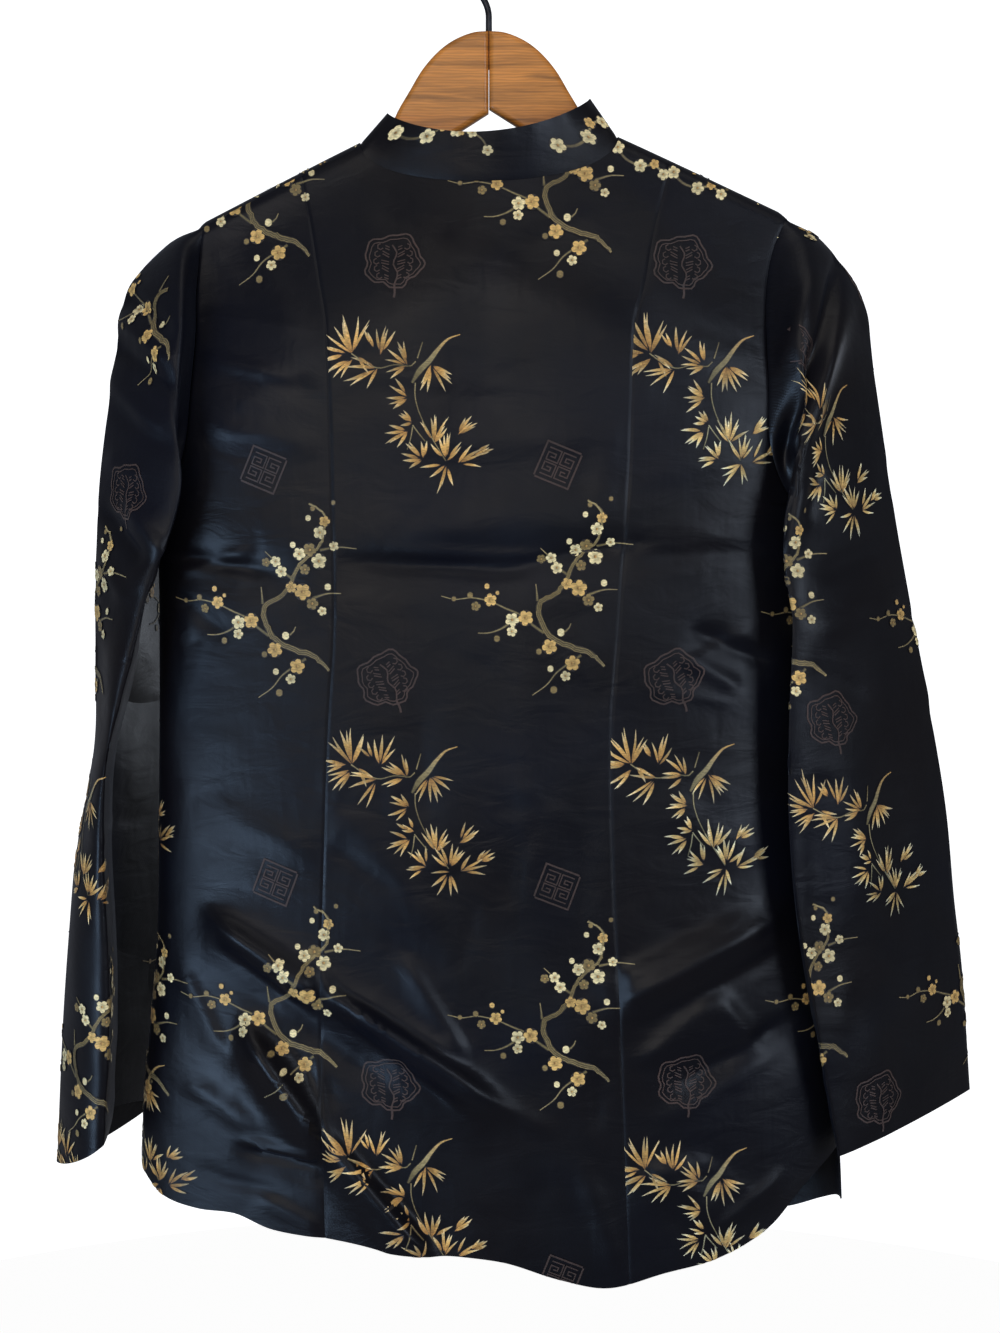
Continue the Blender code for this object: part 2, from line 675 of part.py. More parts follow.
def along(points, share):
    """A point on a smooth curve through points, at a share of their number."""
    place = share * (len(points) - 1)
    k = min(int(place), len(points) - 2)
    t = place - k
    a, b = points[k], points[k + 1]
    before, after = points[max(k - 1, 0)], points[min(k + 2, len(points) - 1)]
    slope_a = (b - before) * (0.5 if k > 0 else 1.0)
    slope_b = (after - a) * (0.5 if k + 2 < len(points) else 1.0)
    return (a * (2 * t ** 3 - 3 * t ** 2 + 1) + slope_a * (t ** 3 - 2 * t ** 2 + t)
            + b * (3 * t ** 2 - 2 * t ** 3) + slope_b * (t ** 3 - t ** 2))


def square_to(vector, line):
    """The part of a vector square to a line, of unit length."""
    line = line.normalized()
    return (vector - line * vector.dot(line)).normalized()


def make_sleeves(surface, collection):
    for hand, sections in ((-1, SLEEVE_LEFT), (1, SLEEVE_RIGHT)):
        ring = armhole_ring(hand)
        columns, strip = [], []
        for k, (turn, seam, outward) in enumerate(ring):
            points = [section_point(section, turn % (2 * pi), min(number / FLAT_FROM_SECTION, 1.0))
                      for number, section in enumerate(sections)]
            line = ring[(k + 1) % len(ring)][1] - ring[k - 1][1]
            away = square_to(square_to(outward, line) + square_to(points[0] - seam, line), line)
            columns.append([seam + away * (ARMHOLE_GAP - SEAM_HALF_GAP)] + points)
            strip.append(columns[-1][0] + away * SEAM_STRIP)
        shares = [k / SLEEVE_ROWS for k in range(1, SLEEVE_ROWS + 1)]
        rows = [[column[0] for column in columns], strip]
        rows += [[along(column, share) for column in columns] for share in shares]
        rows = [row + row[:1] for row in rows]
        if hand > 0:
            rows = [list(reversed(row)) for row in rows]
        cloth("sleeve_" + HAND_NAME[hand], rows, surface, collection, closed=True)


def collar_point(alpha, share):
    """A point of the collar's outer face, from the neck seam to its free edge."""
    x, reach = neck_edge(alpha)
    z = crest(x) - over_shoulder(reach)[1]
    seam = body_point(turn_of(x, z), x, reach)
    level = cos(alpha)
    depth = COLLAR_TOP_BACK_DEPTH if level > 0 else COLLAR_TOP_FRONT_DEPTH
    drop = COLLAR_TOP_BACK_DROP * level ** 1.5 if level > 0 else COLLAR_TOP_FRONT_DROP * (-level) ** 1.1
    top_x = COLLAR_TOP_HALF_WIDTH * sin(alpha)
    top = Vector((top_x, -depth * level, COLLAR_TOP_SIDE_HEIGHT - drop + COLLAR_TILT * top_x))
    seam += (top - seam).normalized() * 2.0 * SEAM_HALF_GAP
    return seam.lerp(top, share)


def make_collar(surface, collection):
    half = [radians(column.degrees) for column in NECK_BACK + tuple(reversed(NECK_FRONT[:-1]))]
    half[-1] -= COLLAR_FRONT_GAP / COLLAR_TOP_HALF_WIDTH
    turns = [-turn for turn in reversed(half[1:])] + half
    rows = [[collar_point(turn, 1.0 - k / COLLAR_ROWS) for turn in turns] for k in range(COLLAR_ROWS + 1)]
    cloth("collar", rows, surface, collection)


def on_front(x, z, lift):
    """A point on the front's cloth, moved out from it."""
    return body_point(turn_of(x, z), x, reach_at(x, z, 1)) + Vector((0.0, lift, 0.0))


def hairpin(hand, height, near, eye):
    """The path of a cord doubled back on itself, with a round eye round the knot if eye is given."""
    low = FROG_LIFT + FROG_CORD_RADIUS
    run = [mix(FROG_LENGTH, near, k / FROG_STEPS) for k in range(FROG_STEPS + 1)]
    path = [(x, FROG_CORD_SPREAD, low) for x in run]
    if eye:
        open_angle = asin(FROG_CORD_SPREAD / eye)
        for k in range(1, FROG_EYE_STEPS):
            angle = mix(open_angle, 2 * pi - open_angle, k / FROG_EYE_STEPS)
            rise = FROG_EYE_RISE * (1.0 - cos(angle)) / 2
            path.append((eye * cos(angle), eye * sin(angle), low + rise))
    path += [(x, -FROG_CORD_SPREAD, low) for x in reversed(run)]
    return [on_front(hand * x, height + z, lift) for x, z, lift in path]


def make_frogs(surface, collection, cutters):
    eye = FROG_KNOT_RADIUS + FROG_CORD_RADIUS + FROG_LIFT
    for number in range(1, FROG_COUNT + 1):
        height = FROG_TOP - (number - 1) * FROG_PITCH
        loop = hairpin(1, height, sqrt(eye ** 2 - FROG_CORD_SPREAD ** 2), eye)
        tube(f"frog_loop_{number}", loop, FROG_CORD_RADIUS, surface, collection, cyclic=True, sides=1)
        stem = hairpin(-1, height, FROG_CORD_SPREAD, 0.0)
        tube(f"frog_knot_{number}", stem, FROG_CORD_RADIUS, surface, collection, cyclic=True, sides=1)
        knot = as_mesh(collection.objects[f"frog_knot_{number}"])
        ball = bpy.data.meshes.new("frog_ball")
        bm = bmesh.new()
        bmesh.ops.create_uvsphere(bm, u_segments=12, v_segments=8, radius=FROG_KNOT_RADIUS * MM)
        centre = on_front(0.0, height, FROG_LIFT + FROG_KNOT_RADIUS)
        bmesh.ops.translate(bm, verts=bm.verts, vec=centre * MM)
        bm.to_mesh(ball)
        bm.free()
        boolean(knot, add_object(f"frog_ball_{number}", ball, surface, cutters), "UNION")


# ================================================================ the hanger
def hanger_top(hand, x):
    """Height of the wood's top edge, at a distance from its middle."""
    if x < HANGER_HUMP[-1].x:
        return lookup(HANGER_HUMP, x, "height")
    dip = HANGER_NECK_DIP * (1.0 - smoothstep((x - HANGER_DIP_START) / HANGER_DIP_FADE))
    return crest(hand * x) - WALL - HANGER_CLEARANCE - dip


def hanger_outline(hand):
    """The outline of one half, from the mitre along the top, round the tip and back."""
    steps = [HANGER_MITRE_HALF_GAP] + [HANGER_PITCH * k for k in range(1, HANGER_COUNT)]
    top = [(x, hanger_top(hand, x)) for x in steps]
    tip_x = steps[-1]
    tip_top = top[-1][1]
    tip_bottom = tip_top - HANGER_END_DEPTH
    half = (tip_top - tip_bottom) / 2
    tip = [(tip_x + HANGER_TIP * sin(pi * k / 6), tip_bottom + half + half * cos(pi * k / 6))
           for k in range(1, 6)]
    under = []
    for x in reversed(steps):
        share = max(x - HANGER_NOTCH_REACH, 0.0) / (tip_x - HANGER_NOTCH_REACH)
        edge = crest(hand * max(x, HANGER_NOTCH_REACH)) - WALL - HANGER_CLEARANCE
        depth = mix(HANGER_NECK_DEPTH, HANGER_END_DEPTH, share)
        rise = max(HANGER_NOTCH_REACH - x, 0.0) * HANGER_NOTCH_SLOPE
        under.append((x, edge - depth + rise))
    return [(hand * x, z) for x, z in top + tip + under]


def make_hanger(wood, black, collection, cutters):
    hole = bpy.data.meshes.new("stem_hole")
    bm = bmesh.new()
    bmesh.ops.create_cone(bm, cap_ends=True, segments=16, depth=60.0 * MM,
                          radius1=(WIRE_RADIUS + STEM_CLEARANCE) * MM,
                          radius2=(WIRE_RADIUS + STEM_CLEARANCE) * MM)
    bmesh.ops.translate(bm, verts=bm.verts, vec=(0.0, 0.0, (STEM_FOOT - STEM_CLEARANCE + 30.0) * MM))
    bm.to_mesh(hole)
    bm.free()
    cutter = add_object("stem_hole", hole, wood, cutters)
    for hand in (-1, 1):
        data = bpy.data.curves.new("hanger_arm_" + HAND_NAME[hand], "CURVE")
        data.dimensions = "2D"
        data.fill_mode = "BOTH"
        data.extrude = (HANGER_THICKNESS / 2 - HANGER_EDGE) * MM
        data.bevel_depth = HANGER_EDGE * MM
        data.bevel_resolution = 1
        data.offset = -HANGER_EDGE * MM
        outline = hanger_outline(hand)
        spline = data.splines.new("POLY")
        spline.points.add(len(outline) - 1)
        for target, (x, z) in zip(spline.points, outline):
            target.co = (x * MM, z * MM, 0.0, 1.0)
        spline.use_cyclic_u = True
        arm = add_object("hanger_arm_" + HAND_NAME[hand], data, wood, collection)
        arm.rotation_euler = (pi / 2, 0.0, 0.0)
        arm = as_mesh(arm)
        boolean(arm, cutter, "DIFFERENCE")
    path = [(0.0, 0.0, z) for z in (STEM_FOOT, STEM_BEND - 8.0, STEM_BEND)]
    centre = -(HOOK_RADIUS - WIRE_RADIUS)
    start = radians(HOOK_START)
    first = Vector((HOOK_RADIUS * cos(start), 0.0, centre + HOOK_RADIUS * sin(start)))
    heading = Vector((sin(start), 0.0, -cos(start)))
    foot, foot_heading = Vector((0.0, 0.0, STEM_BEND)), Vector((0.0, 0.0, 1.0))
    reach = (first - foot).length
    for k in range(1, 6):
        t = k / 6
        point = foot * (2 * t ** 3 - 3 * t ** 2 + 1) + foot_heading * reach * (t ** 3 - 2 * t ** 2 + t)
        point += first * (3 * t ** 2 - 2 * t ** 3) + heading * reach * (t ** 3 - t ** 2)
        path.append(tuple(point))
    for k in range(HOOK_STEPS + 1):
        angle = radians(mix(HOOK_START, HOOK_END, k / HOOK_STEPS))
        path.append((HOOK_RADIUS * cos(angle), 0.0, centre + HOOK_RADIUS * sin(angle)))
    tube("hanger_hook", path, WIRE_RADIUS, black, collection)


def main():
    for leftover in list(bpy.data.objects):
        bpy.data.objects.remove(leftover)
    pieces = bpy.data.collections.new(COLLECTION)
    cutters = bpy.data.collections.new("cutters")
    bpy.context.scene.collection.children.link(pieces)
    bpy.context.scene.collection.children.link(cutters)
    silk = material("silk_brocade", (0.016, 0.017, 0.024), 0.42)
    cord = material("satin_cord", (0.012, 0.012, 0.016), 0.45)
    wood = material("hanger_wood", (0.62, 0.38, 0.18), 0.45)
    black = material("black_wire", (0.02, 0.02, 0.022), 0.35, 0.6)
    make_back(silk, pieces)
    make_fronts(silk, pieces)
    make_sleeves(silk, pieces)
    make_collar(silk, pieces)
    make_frogs(cord, pieces, cutters)
    make_hanger(wood, black, pieces, cutters)


main()
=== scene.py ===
"""A stand-collar brocade jacket on a wooden hanger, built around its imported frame.

Sizes in the tables are millimetres in the frame's own axes: +Z up, +X to the right of
someone who looks at the jacket's back, and the back faces -Y.
"""

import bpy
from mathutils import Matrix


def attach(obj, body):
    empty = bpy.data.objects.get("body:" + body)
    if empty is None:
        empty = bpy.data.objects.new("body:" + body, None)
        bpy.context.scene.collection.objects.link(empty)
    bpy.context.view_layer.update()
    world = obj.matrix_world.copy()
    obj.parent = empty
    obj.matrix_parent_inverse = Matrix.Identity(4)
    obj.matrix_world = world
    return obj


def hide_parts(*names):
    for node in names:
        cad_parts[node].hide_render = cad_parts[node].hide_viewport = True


bl_info = {
    "name": "Brocade jacket on a hanger",
    "version": (1, 0, 0),
    "blender": (4, 5, 0),
    "location": "View3D > Sidebar > Jacket",
    "description": "Builds a stand-collar brocade jacket with woven sprays on a wooden hanger",
    "category": "Object",
}
from collections import namedtuple
from math import atan2, cos, hypot, pi, radians, sin, sqrt
from random import Random

import bpy
import numpy as np
from mathutils import Vector
from mathutils.bvhtree import BVHTree
from mathutils.interpolate import poly_3d_calc

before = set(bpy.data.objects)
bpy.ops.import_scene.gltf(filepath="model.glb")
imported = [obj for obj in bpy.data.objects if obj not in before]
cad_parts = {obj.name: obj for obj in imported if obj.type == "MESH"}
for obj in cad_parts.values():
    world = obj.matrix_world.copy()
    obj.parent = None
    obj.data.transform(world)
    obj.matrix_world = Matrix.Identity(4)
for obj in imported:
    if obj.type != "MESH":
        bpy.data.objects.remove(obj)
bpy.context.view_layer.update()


def table_of(kind, *values):
    """A table of one kind of row."""
    return tuple(kind(*row) for row in values)


MM = 0.001

# ---------------------------------------------------------------- cloth
WALL = 1.1
SEAM_OVERLAP = -0.08
FRONT_HALF_GAP = 0.02
SLEEVE_SEAM_OFFSET = -0.1
COLLAR_SEAM_OVERLAP = -1.2
SIDE_POWER = 2.6
CREST_RADIUS = 10.0
WIDENING_DROP = 130.0
TOP_EDGE_SHARE = 0.22
HAND_NAME = {-1: "left", 1: "right"}
SECTION_STEPS = 300
SOLVE_STEPS = 12

# ---------------------------------------------------------------- shoulders and neck
CREST_TOP = -100.0
CREST_SLOPE_RIGHT = 0.470
CREST_SLOPE_LEFT = 0.514
CREST_ROUNDING = 30.0
CREST_ROUNDING_LOSS = 3.0
SHOULDER_SEAM_ANGLE = 0.9
NECK_HALF_WIDTH = 81.0
NECK_SIDE_HEIGHT = -141.3
NECK_BACK_DROP = 28.0
NECK_FRONT_DROP = 78.0
NECK_TILT = 0.023
NeckColumn = namedtuple("NeckColumn", "share degrees")
NECK_BACK = table_of(NeckColumn,
    (0, 0), (0.25, 21), (0.48, 43), (0.63, 64), (0.71, 78), (0.78, 84.6))
NECK_FRONT = table_of(NeckColumn,
    (0, 180), (0.17, 156), (0.31, 133), (0.40, 114), (0.46, 102), (0.51, 94.5), (0.55, 91.2),
    (0.58, 90), (0.61, 87), (0.64, 84.6))
NECK_SEAM_TURN = radians(NECK_BACK[-1].degrees)
SEAM_TOP = {-1: -164.0, 1: -157.0}

# ---------------------------------------------------------------- body
BodySection = namedtuple("BodySection", "height centre half_width back front")
BODY = table_of(BodySection,
    (-900, 3, 237, 60, 56), (-770, 1, 231, 58, 54), (-660, -2, 217, 54, 52),
    (-540, -5, 210, 50, 50), (-430, -5, 208, 47, 48), (-372, -5, 208, 46, 48),
    (-250, -2, 205, 44, 46), (-130, 0, 205, 40, 42))
TYPICAL_SECTION = BODY[4]

PrincessRow = namedtuple("PrincessRow", "height left right")
PRINCESS = table_of(PrincessRow,
    (-880, -105, 91), (-787, -106.5, 87), (-687, -107.5, 83), (-602, -105, 78.5),
    (-511, -101.5, 77), (-441, -97, 81.5), (-354, -97.8, 87), (-304, -98.6, 88.5),
    (-257, -100.6, 90.5), (-232, -105, 97), (-200, -110.5, 103), (-160, -118, 113))

UNDERARM_HEIGHT = -372.0
ArmholeRow = namedtuple("ArmholeRow", "share left right")
ARMHOLE = table_of(ArmholeRow,
    (0, -180, 187), (0.12, -182, 179), (0.25, -184, 174.5), (0.40, -184, 173.5), (0.60, -187, 175),
    (0.80, -190, 176), (1, -194, 180))
UNDERARM_CURVE_START = 0.72

HemRow = namedtuple("HemRow", "x back front")
HEM = table_of(HemRow,
    (-240, -800, -800), (-228, -809, -812), (-214, -820, -826), (-190, -825, -838),
    (-165, -826, -848), (-140, -835, -852), (-100, -840, -858), (-57, -847, -860), (7, -854, -862),
    (45, -866, -862), (77, -872, -860), (113, -863, -858), (149, -854, -857), (182, -836, -856),
    (205, -811, -854), (228, -792, -842), (240, -786, -832))

# main folds: a line from one end to the other, half width and height (troughs are negative)
Fold = namedtuple("Fold", "x1 z1 x2 z2 half_width height")
BACK_FOLDS = table_of(Fold,
    (-84, -411, 98, -396, 14, -3.5), (-70, -388, 90, -374, 18, 2.5),
    (-205, -405, -120, -416, 14, -3), (-176, -636, -99, -682, 15, 6), (-104, -680, 10, -750, 16, 5),
    (-160, -668, -60, -738, 14, -4), (-152, -705, -99, -783, 15, 6), (-101, -780, -40, -850, 15, 4),
    (-160, -786, -99, -797, 11, -4), (82, -690, 195, -632, 16, 5), (120, -742, 200, -706, 16, -4),
    (100, -800, 150, -826, 18, 4), (128, -452, 176, -476, 13, -3), (-2, -200, -6, -420, 30, -2))
FRONT_FOLDS = table_of(Fold,
    (-150, -300, -40, -360, 18, 3), (160, -320, 60, -372, 18, 3), (-190, -430, -60, -450, 15, -3),
    (190, -440, 70, -456, 15, -3), (-185, -640, -50, -720, 17, 5), (190, -620, 60, -700, 17, 5),
    (150, -740, 70, -800, 16, -4))
# finer creases on top of the folds, raised along the cloth's own normal
BACK_CREASES = table_of(Fold,
    (-86, -404, 20, -410, 4.5, -1.8), (10, -408, 96, -392, 4, -1.6), (-60, -398, 60, -402, 4, 1.3),
    (-205, -401, -138, -411, 4.5, -1.9), (-196, -412, -150, -398, 4, 1.3),
    (-200, -425, -165, -452, 6, -1.4), (-178, -628, -100, -676, 5, 2.2),
    (-172, -650, -110, -694, 5.5, -2.2), (-101, -678, 4, -741, 5, 2.1),
    (-96, -694, -20, -752, 6, -2), (-20, -735, 40, -768, 7, 1.5), (-156, -700, -101, -775, 5, 2.4),
    (-140, -700, -100, -748, 6, -2), (-100, -776, -34, -852, 5, 2.2),
    (-84, -790, -20, -846, 7, -1.6), (-160, -783, -101, -792, 4, -2.6),
    (-158, -777, -104, -784, 4, 2), (-198, -740, -150, -768, 8, 1.6),
    (-190, -800, -130, -812, 6, -1.3), (84, -684, 190, -629, 5, 2), (96, -700, 186, -656, 6, -1.8),
    (130, -735, 196, -700, 5.5, -1.8), (112, -760, 186, -722, 7, 1.5), (60, -790, 84, -862, 8, 1.4),
    (92, -786, 132, -842, 7, -1.4), (130, -448, 178, -470, 4.5, -2), (118, -462, 160, -486, 5, 1.3),
    (100, -402, 168, -398, 6, -1.2), (-92, -300, 30, -306, 9, -0.7), (-60, -332, 80, -326, 10, 0.8),
    (-170, -288, -106, -300, 8, -1), (-178, -318, -108, -332, 8, 1),
    (-180, -560, -112, -590, 10, 1), (-92, -560, -30, -640, 12, 0.8),
    (-40, -480, -46, -620, 12, -0.8), (22, -450, 30, -640, 13, 0.8), (60, -540, 56, -700, 10, -0.8),
    (104, -300, 166, -286, 9, -0.9), (100, -350, 168, -340, 9, 0.9),
    (100, -560, 176, -590, 12, 0.9), (-72, -184, -20, -210, 10, -0.9),
    (60, -190, 20, -216, 10, -0.8), (-150, -205, -118, -260, 9, 0.9))
FRONT_CREASES = table_of(Fold,
    (-140, -306, -50, -352, 6, 1.3), (150, -326, 66, -364, 6, 1.4),
    (-186, -426, -80, -446, 5, -1.8), (186, -436, 90, -452, 5, -1.8), (-150, -462, -60, -476, 7, 1),
    (150, -470, 70, -490, 7, 1), (-180, -636, -60, -708, 5.5, 2), (186, -616, 70, -690, 5.5, 2),
    (-150, -660, -70, -722, 6, -1.8), (150, -650, 80, -706, 6, -1.8),
    (146, -736, 80, -790, 6, -1.8), (-120, -750, -60, -820, 8, 1.4),
    (-30, -300, -26, -380, 8, -0.9), (30, -390, 34, -480, 8, -0.8))
CREASE_STRENGTH = 1.4
# how far past its ends a line still shows and how long it takes to fade, as shares of its length
FOLD_PAST, FOLD_FADE = 0.15, 0.4
PLEAT_PAST, PLEAT_FADE = 0.1, 0.35
# pleats pressed by hanging: soft on the side their line has on its left, steep on the other
Pleat = namedtuple("Pleat", "x1 z1 x2 z2 soft steep height")
BACK_PLEATS = table_of(Pleat,
    (-180, -630, -100, -682, 22, 3.6, 6.4), (-104, -674, 12, -752, 20, 3.6, 6.2),
    (-158, -698, -99, -780, 26, 4.2, 8), (-102, -772, -38, -850, 28, 4.4, 6.6),
    (-54, -656, -14, -720, 16, 5.5, 3), (-160, -779, -102, -789, 16, 3.2, 2.4),
    (-200, -664, -168, -724, 14, 5, 2.6), (-150, -812, -104, -834, 14, 5, 2.2),
    (72, -676, 176, -628, 22, 7, 3.4), (96, -724, 150, -680, 18, 6, 3),
    (146, -682, 176, -722, 14, 6, 2.6), (84, -800, 140, -790, 16, 7, 2.2),
    (142, -838, 190, -800, 9, 4, 2.6), (-74, -416, 98, -398, 5, 1.5, 0.5),
    (-206, -408, -136, -417, 5, 1.6, 0.7), (-176, -250, -112, -262, 12, 4, 1.4),
    (-180, -276, -120, -292, 11, 4, 1.3), (122, -470, 168, -446, 9, 3.4, 1.8),
    (-60, -560, -24, -600, 18, 9, 1.2))
FRONT_PLEATS = table_of(Pleat,
    (-186, -634, -64, -712, 20, 5, 4), (70, -700, 184, -622, 20, 5, 4),
    (-150, -420, -60, -440, 9, 3.4, 1.8), (60, -446, 160, -430, 9, 3.4, 1.8),
    (84, -800, 150, -742, 16, 5, 3))
# small creases scattered over the cloth: how many, and their longest, widest and highest
SMALL_CREASES = 70
SMALL_CREASE_LONGEST = 60.0
SMALL_CREASE_WIDEST = 9.0
SMALL_CREASE_HEIGHT = 0.75
SMALL_CREASE_SEED = 11

# the pressed-in valley along a seam
SEAM_VALLEY_DEPTH = 0.45
SEAM_VALLEY_WIDTH = 1.0

# ---------------------------------------------------------------- sleeves
SleeveSection = namedtuple("SleeveSection", "outer back inner front")
SLEEVE_RIGHT = table_of(SleeveSection,
    ((212, 0, -204.5), (190, -42, -288), (211, 1, -375), (190, 42, -288)),
    ((237, -3, -240), (193, -50, -326), (215, 2, -379), (197, 48, -325)),
    ((246, -5, -292), (184, -55, -360), (219, 4, -386), (205, 54, -355)),
    ((259, -8, -372), (182, -58, -398), (224, 8, -402), (222, 58, -395)),
    ((270, -5, -425), (188, -59, -440), (229, 10, -442), (238, 60, -438)),
    ((287, 0, -503), (187, -59, -502), (233, 14, -503), (256, 61, -503)),
    ((301, 8, -570), (188, -58, -566), (240, 20, -567), (270, 62, -567)),
    ((309, 12, -632), (194, -56, -626), (248, 22, -628), (281, 60, -630)),
    ((317, 17, -684), (204, -53, -680), (255, 23, -681), (290, 57, -682)),
    ((325, 20, -766), (225, -48, -788), (265, 18, -783), (303, 46, -774)))
SLEEVE_LEFT = table_of(SleeveSection,
    ((-205, 0, -207), (-190, -42, -285), (-220, 1, -375), (-190, 42, -290)),
    ((-231, -2, -238), (-192, -50, -322), (-223, 2, -379), (-198, 48, -325)),
    ((-238, -10, -285), (-189, -56, -353), (-226, 2, -386), (-210, 52, -355)),
    ((-247, -16, -352), (-196, -58, -384), (-227, 2, -402), (-219, 56, -390)),
    ((-250, -20, -408), (-208, -58, -414), (-228, 2, -425), (-221, 58, -420)),
    ((-252, -22, -470), (-222, -58, -465), (-230, 6, -470), (-219, 60, -472)),
    ((-254, -22, -526), (-238, -57, -528), (-244, 14, -530), (-219, 60, -532)),
    ((-266, -22, -594), (-242, -56, -588), (-251, 18, -592), (-221, 60, -596)),
    ((-277, -22, -692), (-241, -55, -684), (-250, 18, -690), (-228, 60, -696)),
    ((-285, -20, -802), (-247, -55, -778), (-254, 15, -777), (-238, 58, -791)))
# how flat each quarter of a section is: 1 is round, 2 is straight between its two points
FLATNESS = (1.15, 1.75, 1.4, 1.2)
FLAT_FROM_SECTION = 4
STRIP_END_SHARE = 1.0 / 21.0

# sleeve creases as seen from behind: a line, half width, height
SLEEVE_CREASES = {
    1: table_of(Fold,
        (222, -214, 196, -300, 4.5, -4), (202, -276, 178, -352, 5.5, -4.6),
        (186, -330, 176, -400, 5, -3), (214, -262, 190, -346, 6, 2.4),
        (204, -222, 182, -286, 6, 1.6), (226, -240, 190, -330, 8, 2), (196, -352, 184, -400, 7, 2),
        (206, -346, 196, -382, 5, -2), (250, -396, 206, -412, 8, -1.2),
        (262, -430, 200, -448, 9, 1.2), (198, -470, 240, -490, 8, -1.2),
        (230, -520, 236, -640, 14, 1.5), (262, -560, 274, -700, 14, -1.4),
        (204, -560, 214, -690, 10, -1.4), (244, -700, 262, -770, 12, 1.4)),
    -1: table_of(Fold,
        (-232, -236, -196, -262, 5, -2.4), (-234, -252, -194, -282, 5.5, 2),
        (-236, -270, -192, -300, 5, -2.2), (-240, -290, -206, -320, 6, 1.7),
        (-238, -310, -196, -336, 6, -1.5), (-242, -340, -214, -352, 7, 1.4),
        (-226, -366, -200, -400, 6, 2.2), (-244, -372, -214, -404, 5, -2.6),
        (-246, -400, -226, -428, 6, 1.6), (-250, -450, -240, -540, 8, -1.2),
        (-264, -580, -262, -700, 9, 1.2)),
}

# ---------------------------------------------------------------- collar
COLLAR_TOP_HALF_WIDTH = 64.0
COLLAR_TOP_BACK_DEPTH = 27.0
COLLAR_TOP_FRONT_DEPTH = 38.0
COLLAR_TOP_SIDE_HEIGHT = -120.0
COLLAR_TOP_BACK_DROP = 19.4
COLLAR_TOP_FRONT_DROP = 66.0
COLLAR_TILT = 0.07
COLLAR_FRONT_GAP = 0.6

# how far apart the points of the cloth's grids are
GRID_PITCH = 3.0
FINE_TOP = 0.05
FINE_TOP_STEP = 0.0026
PANEL_ROUND_SHARE = 1.16    # how much longer a panel is round the body than it is wide
PANEL_LENGTH = 740.0
BESIDE_SEAM = (0.7, 1.4, 2.2)
SEAM_HOLD = 8.0             # creases fade out this close to a seam
TOP_HOLD_SHARE = 0.04
SLEEVE_HALF_COLUMNS = 62
SLEEVE_ROWS = 190
SLEEVE_STRIP_ROWS = 6
SLEEVE_HOLD = 12.0
SLEEVE_LEAN = 0.12
SLEEVE_SMALL_CREASES = 34
SLEEVE_SPAN = {-1: (-280.0, -185.0), 1: (150.0, 320.0)}
SLEEVE_FRONT_DROP = 24.0    # a sleeve's front creases repeat its back ones, lower and softer
COLLAR_COLUMNS = 190
COLLAR_ROWS = 15
RIM_BULGE = 0.28
CLOTH_SHARP_ANGLE = 50.0
WOOD_SHARP_ANGLE = 35.0


# ================================================================ numbers
def mix(a, b, share):
    return a + (b - a) * share


def smoothstep(share):
    share = np.clip(share, 0.0, 1.0)
    return share * share * (3.0 - 2.0 * share)


def lookup(table, at, column):
    """Read one column of a table, smoothly, at values of its first column."""
    keys = np.array([row[0] for row in table], dtype=float)
    values = np.array([getattr(row, column) for row in table], dtype=float)
    at = np.clip(at, keys[0], keys[-1])
    k = np.clip(np.searchsorted(keys, at, side="left") - 1, 0, len(keys) - 2)
    before, after = np.maximum(k - 1, 0), np.minimum(k + 2, len(keys) - 1)
    span = keys[k + 1] - keys[k]
    slope_a = (values[k + 1] - values[before]) / (keys[k + 1] - keys[before]) * span
    slope_b = (values[after] - values[k]) / (keys[after] - keys[k]) * span
    return hermite((at - keys[k]) / span, values[k], slope_a, values[k + 1], slope_b)


def hermite(t, a, slope_a, b, slope_b):
    """The smooth curve from a to b that leaves and arrives with these slopes."""
    return (a * (2 * t ** 3 - 3 * t ** 2 + 1) + slope_a * (t ** 3 - 2 * t ** 2 + t)
            + b * (3 * t ** 2 - 2 * t ** 3) + slope_b * (t ** 3 - t ** 2))


def running(steps, axis=0):
    """The running total of steps along an axis, from nought."""
    total = np.cumsum(steps, axis=axis)
    return np.concatenate([np.zeros_like(total.take([0], axis=axis)), total], axis=axis)


def unit(vectors):
    return vectors / np.maximum(np.linalg.norm(vectors, axis=-1, keepdims=True), 1e-9)


# ================================================================ the body's cloth
def crest(x):
    """Height of the top of the shoulders at x, rounded off over the open neck."""
    slope = mix(CREST_SLOPE_LEFT, CREST_SLOPE_RIGHT, smoothstep(0.5 + x / NECK_HALF_WIDTH / 2))
    return CREST_TOP - slope * (np.hypot(x, CREST_ROUNDING) - CREST_ROUNDING_LOSS)


def over_shoulder(reach):
    """Depth and drop of cloth at a distance over the crest: back negative, front positive."""
    quarter = CREST_RADIUS * pi / 2
    bend = np.clip(reach, -quarter, quarter) / CREST_RADIUS
    drop = CREST_RADIUS * (1.0 - np.cos(bend)) + np.maximum(np.abs(reach) - quarter, 0.0)
    return CREST_RADIUS * np.sin(bend), drop


def reach_at(x, height, side):
    """The distance over the crest at which the cloth has this height; side is -1 back, 1 front."""
    drop = np.maximum(crest(x) - height, 0.0)
    curved = CREST_RADIUS * np.arccos(1.0 - np.minimum(drop, CREST_RADIUS) / CREST_RADIUS)
    return side * np.where(drop < CREST_RADIUS, curved, CREST_RADIUS * (pi / 2 - 1.0) + drop)


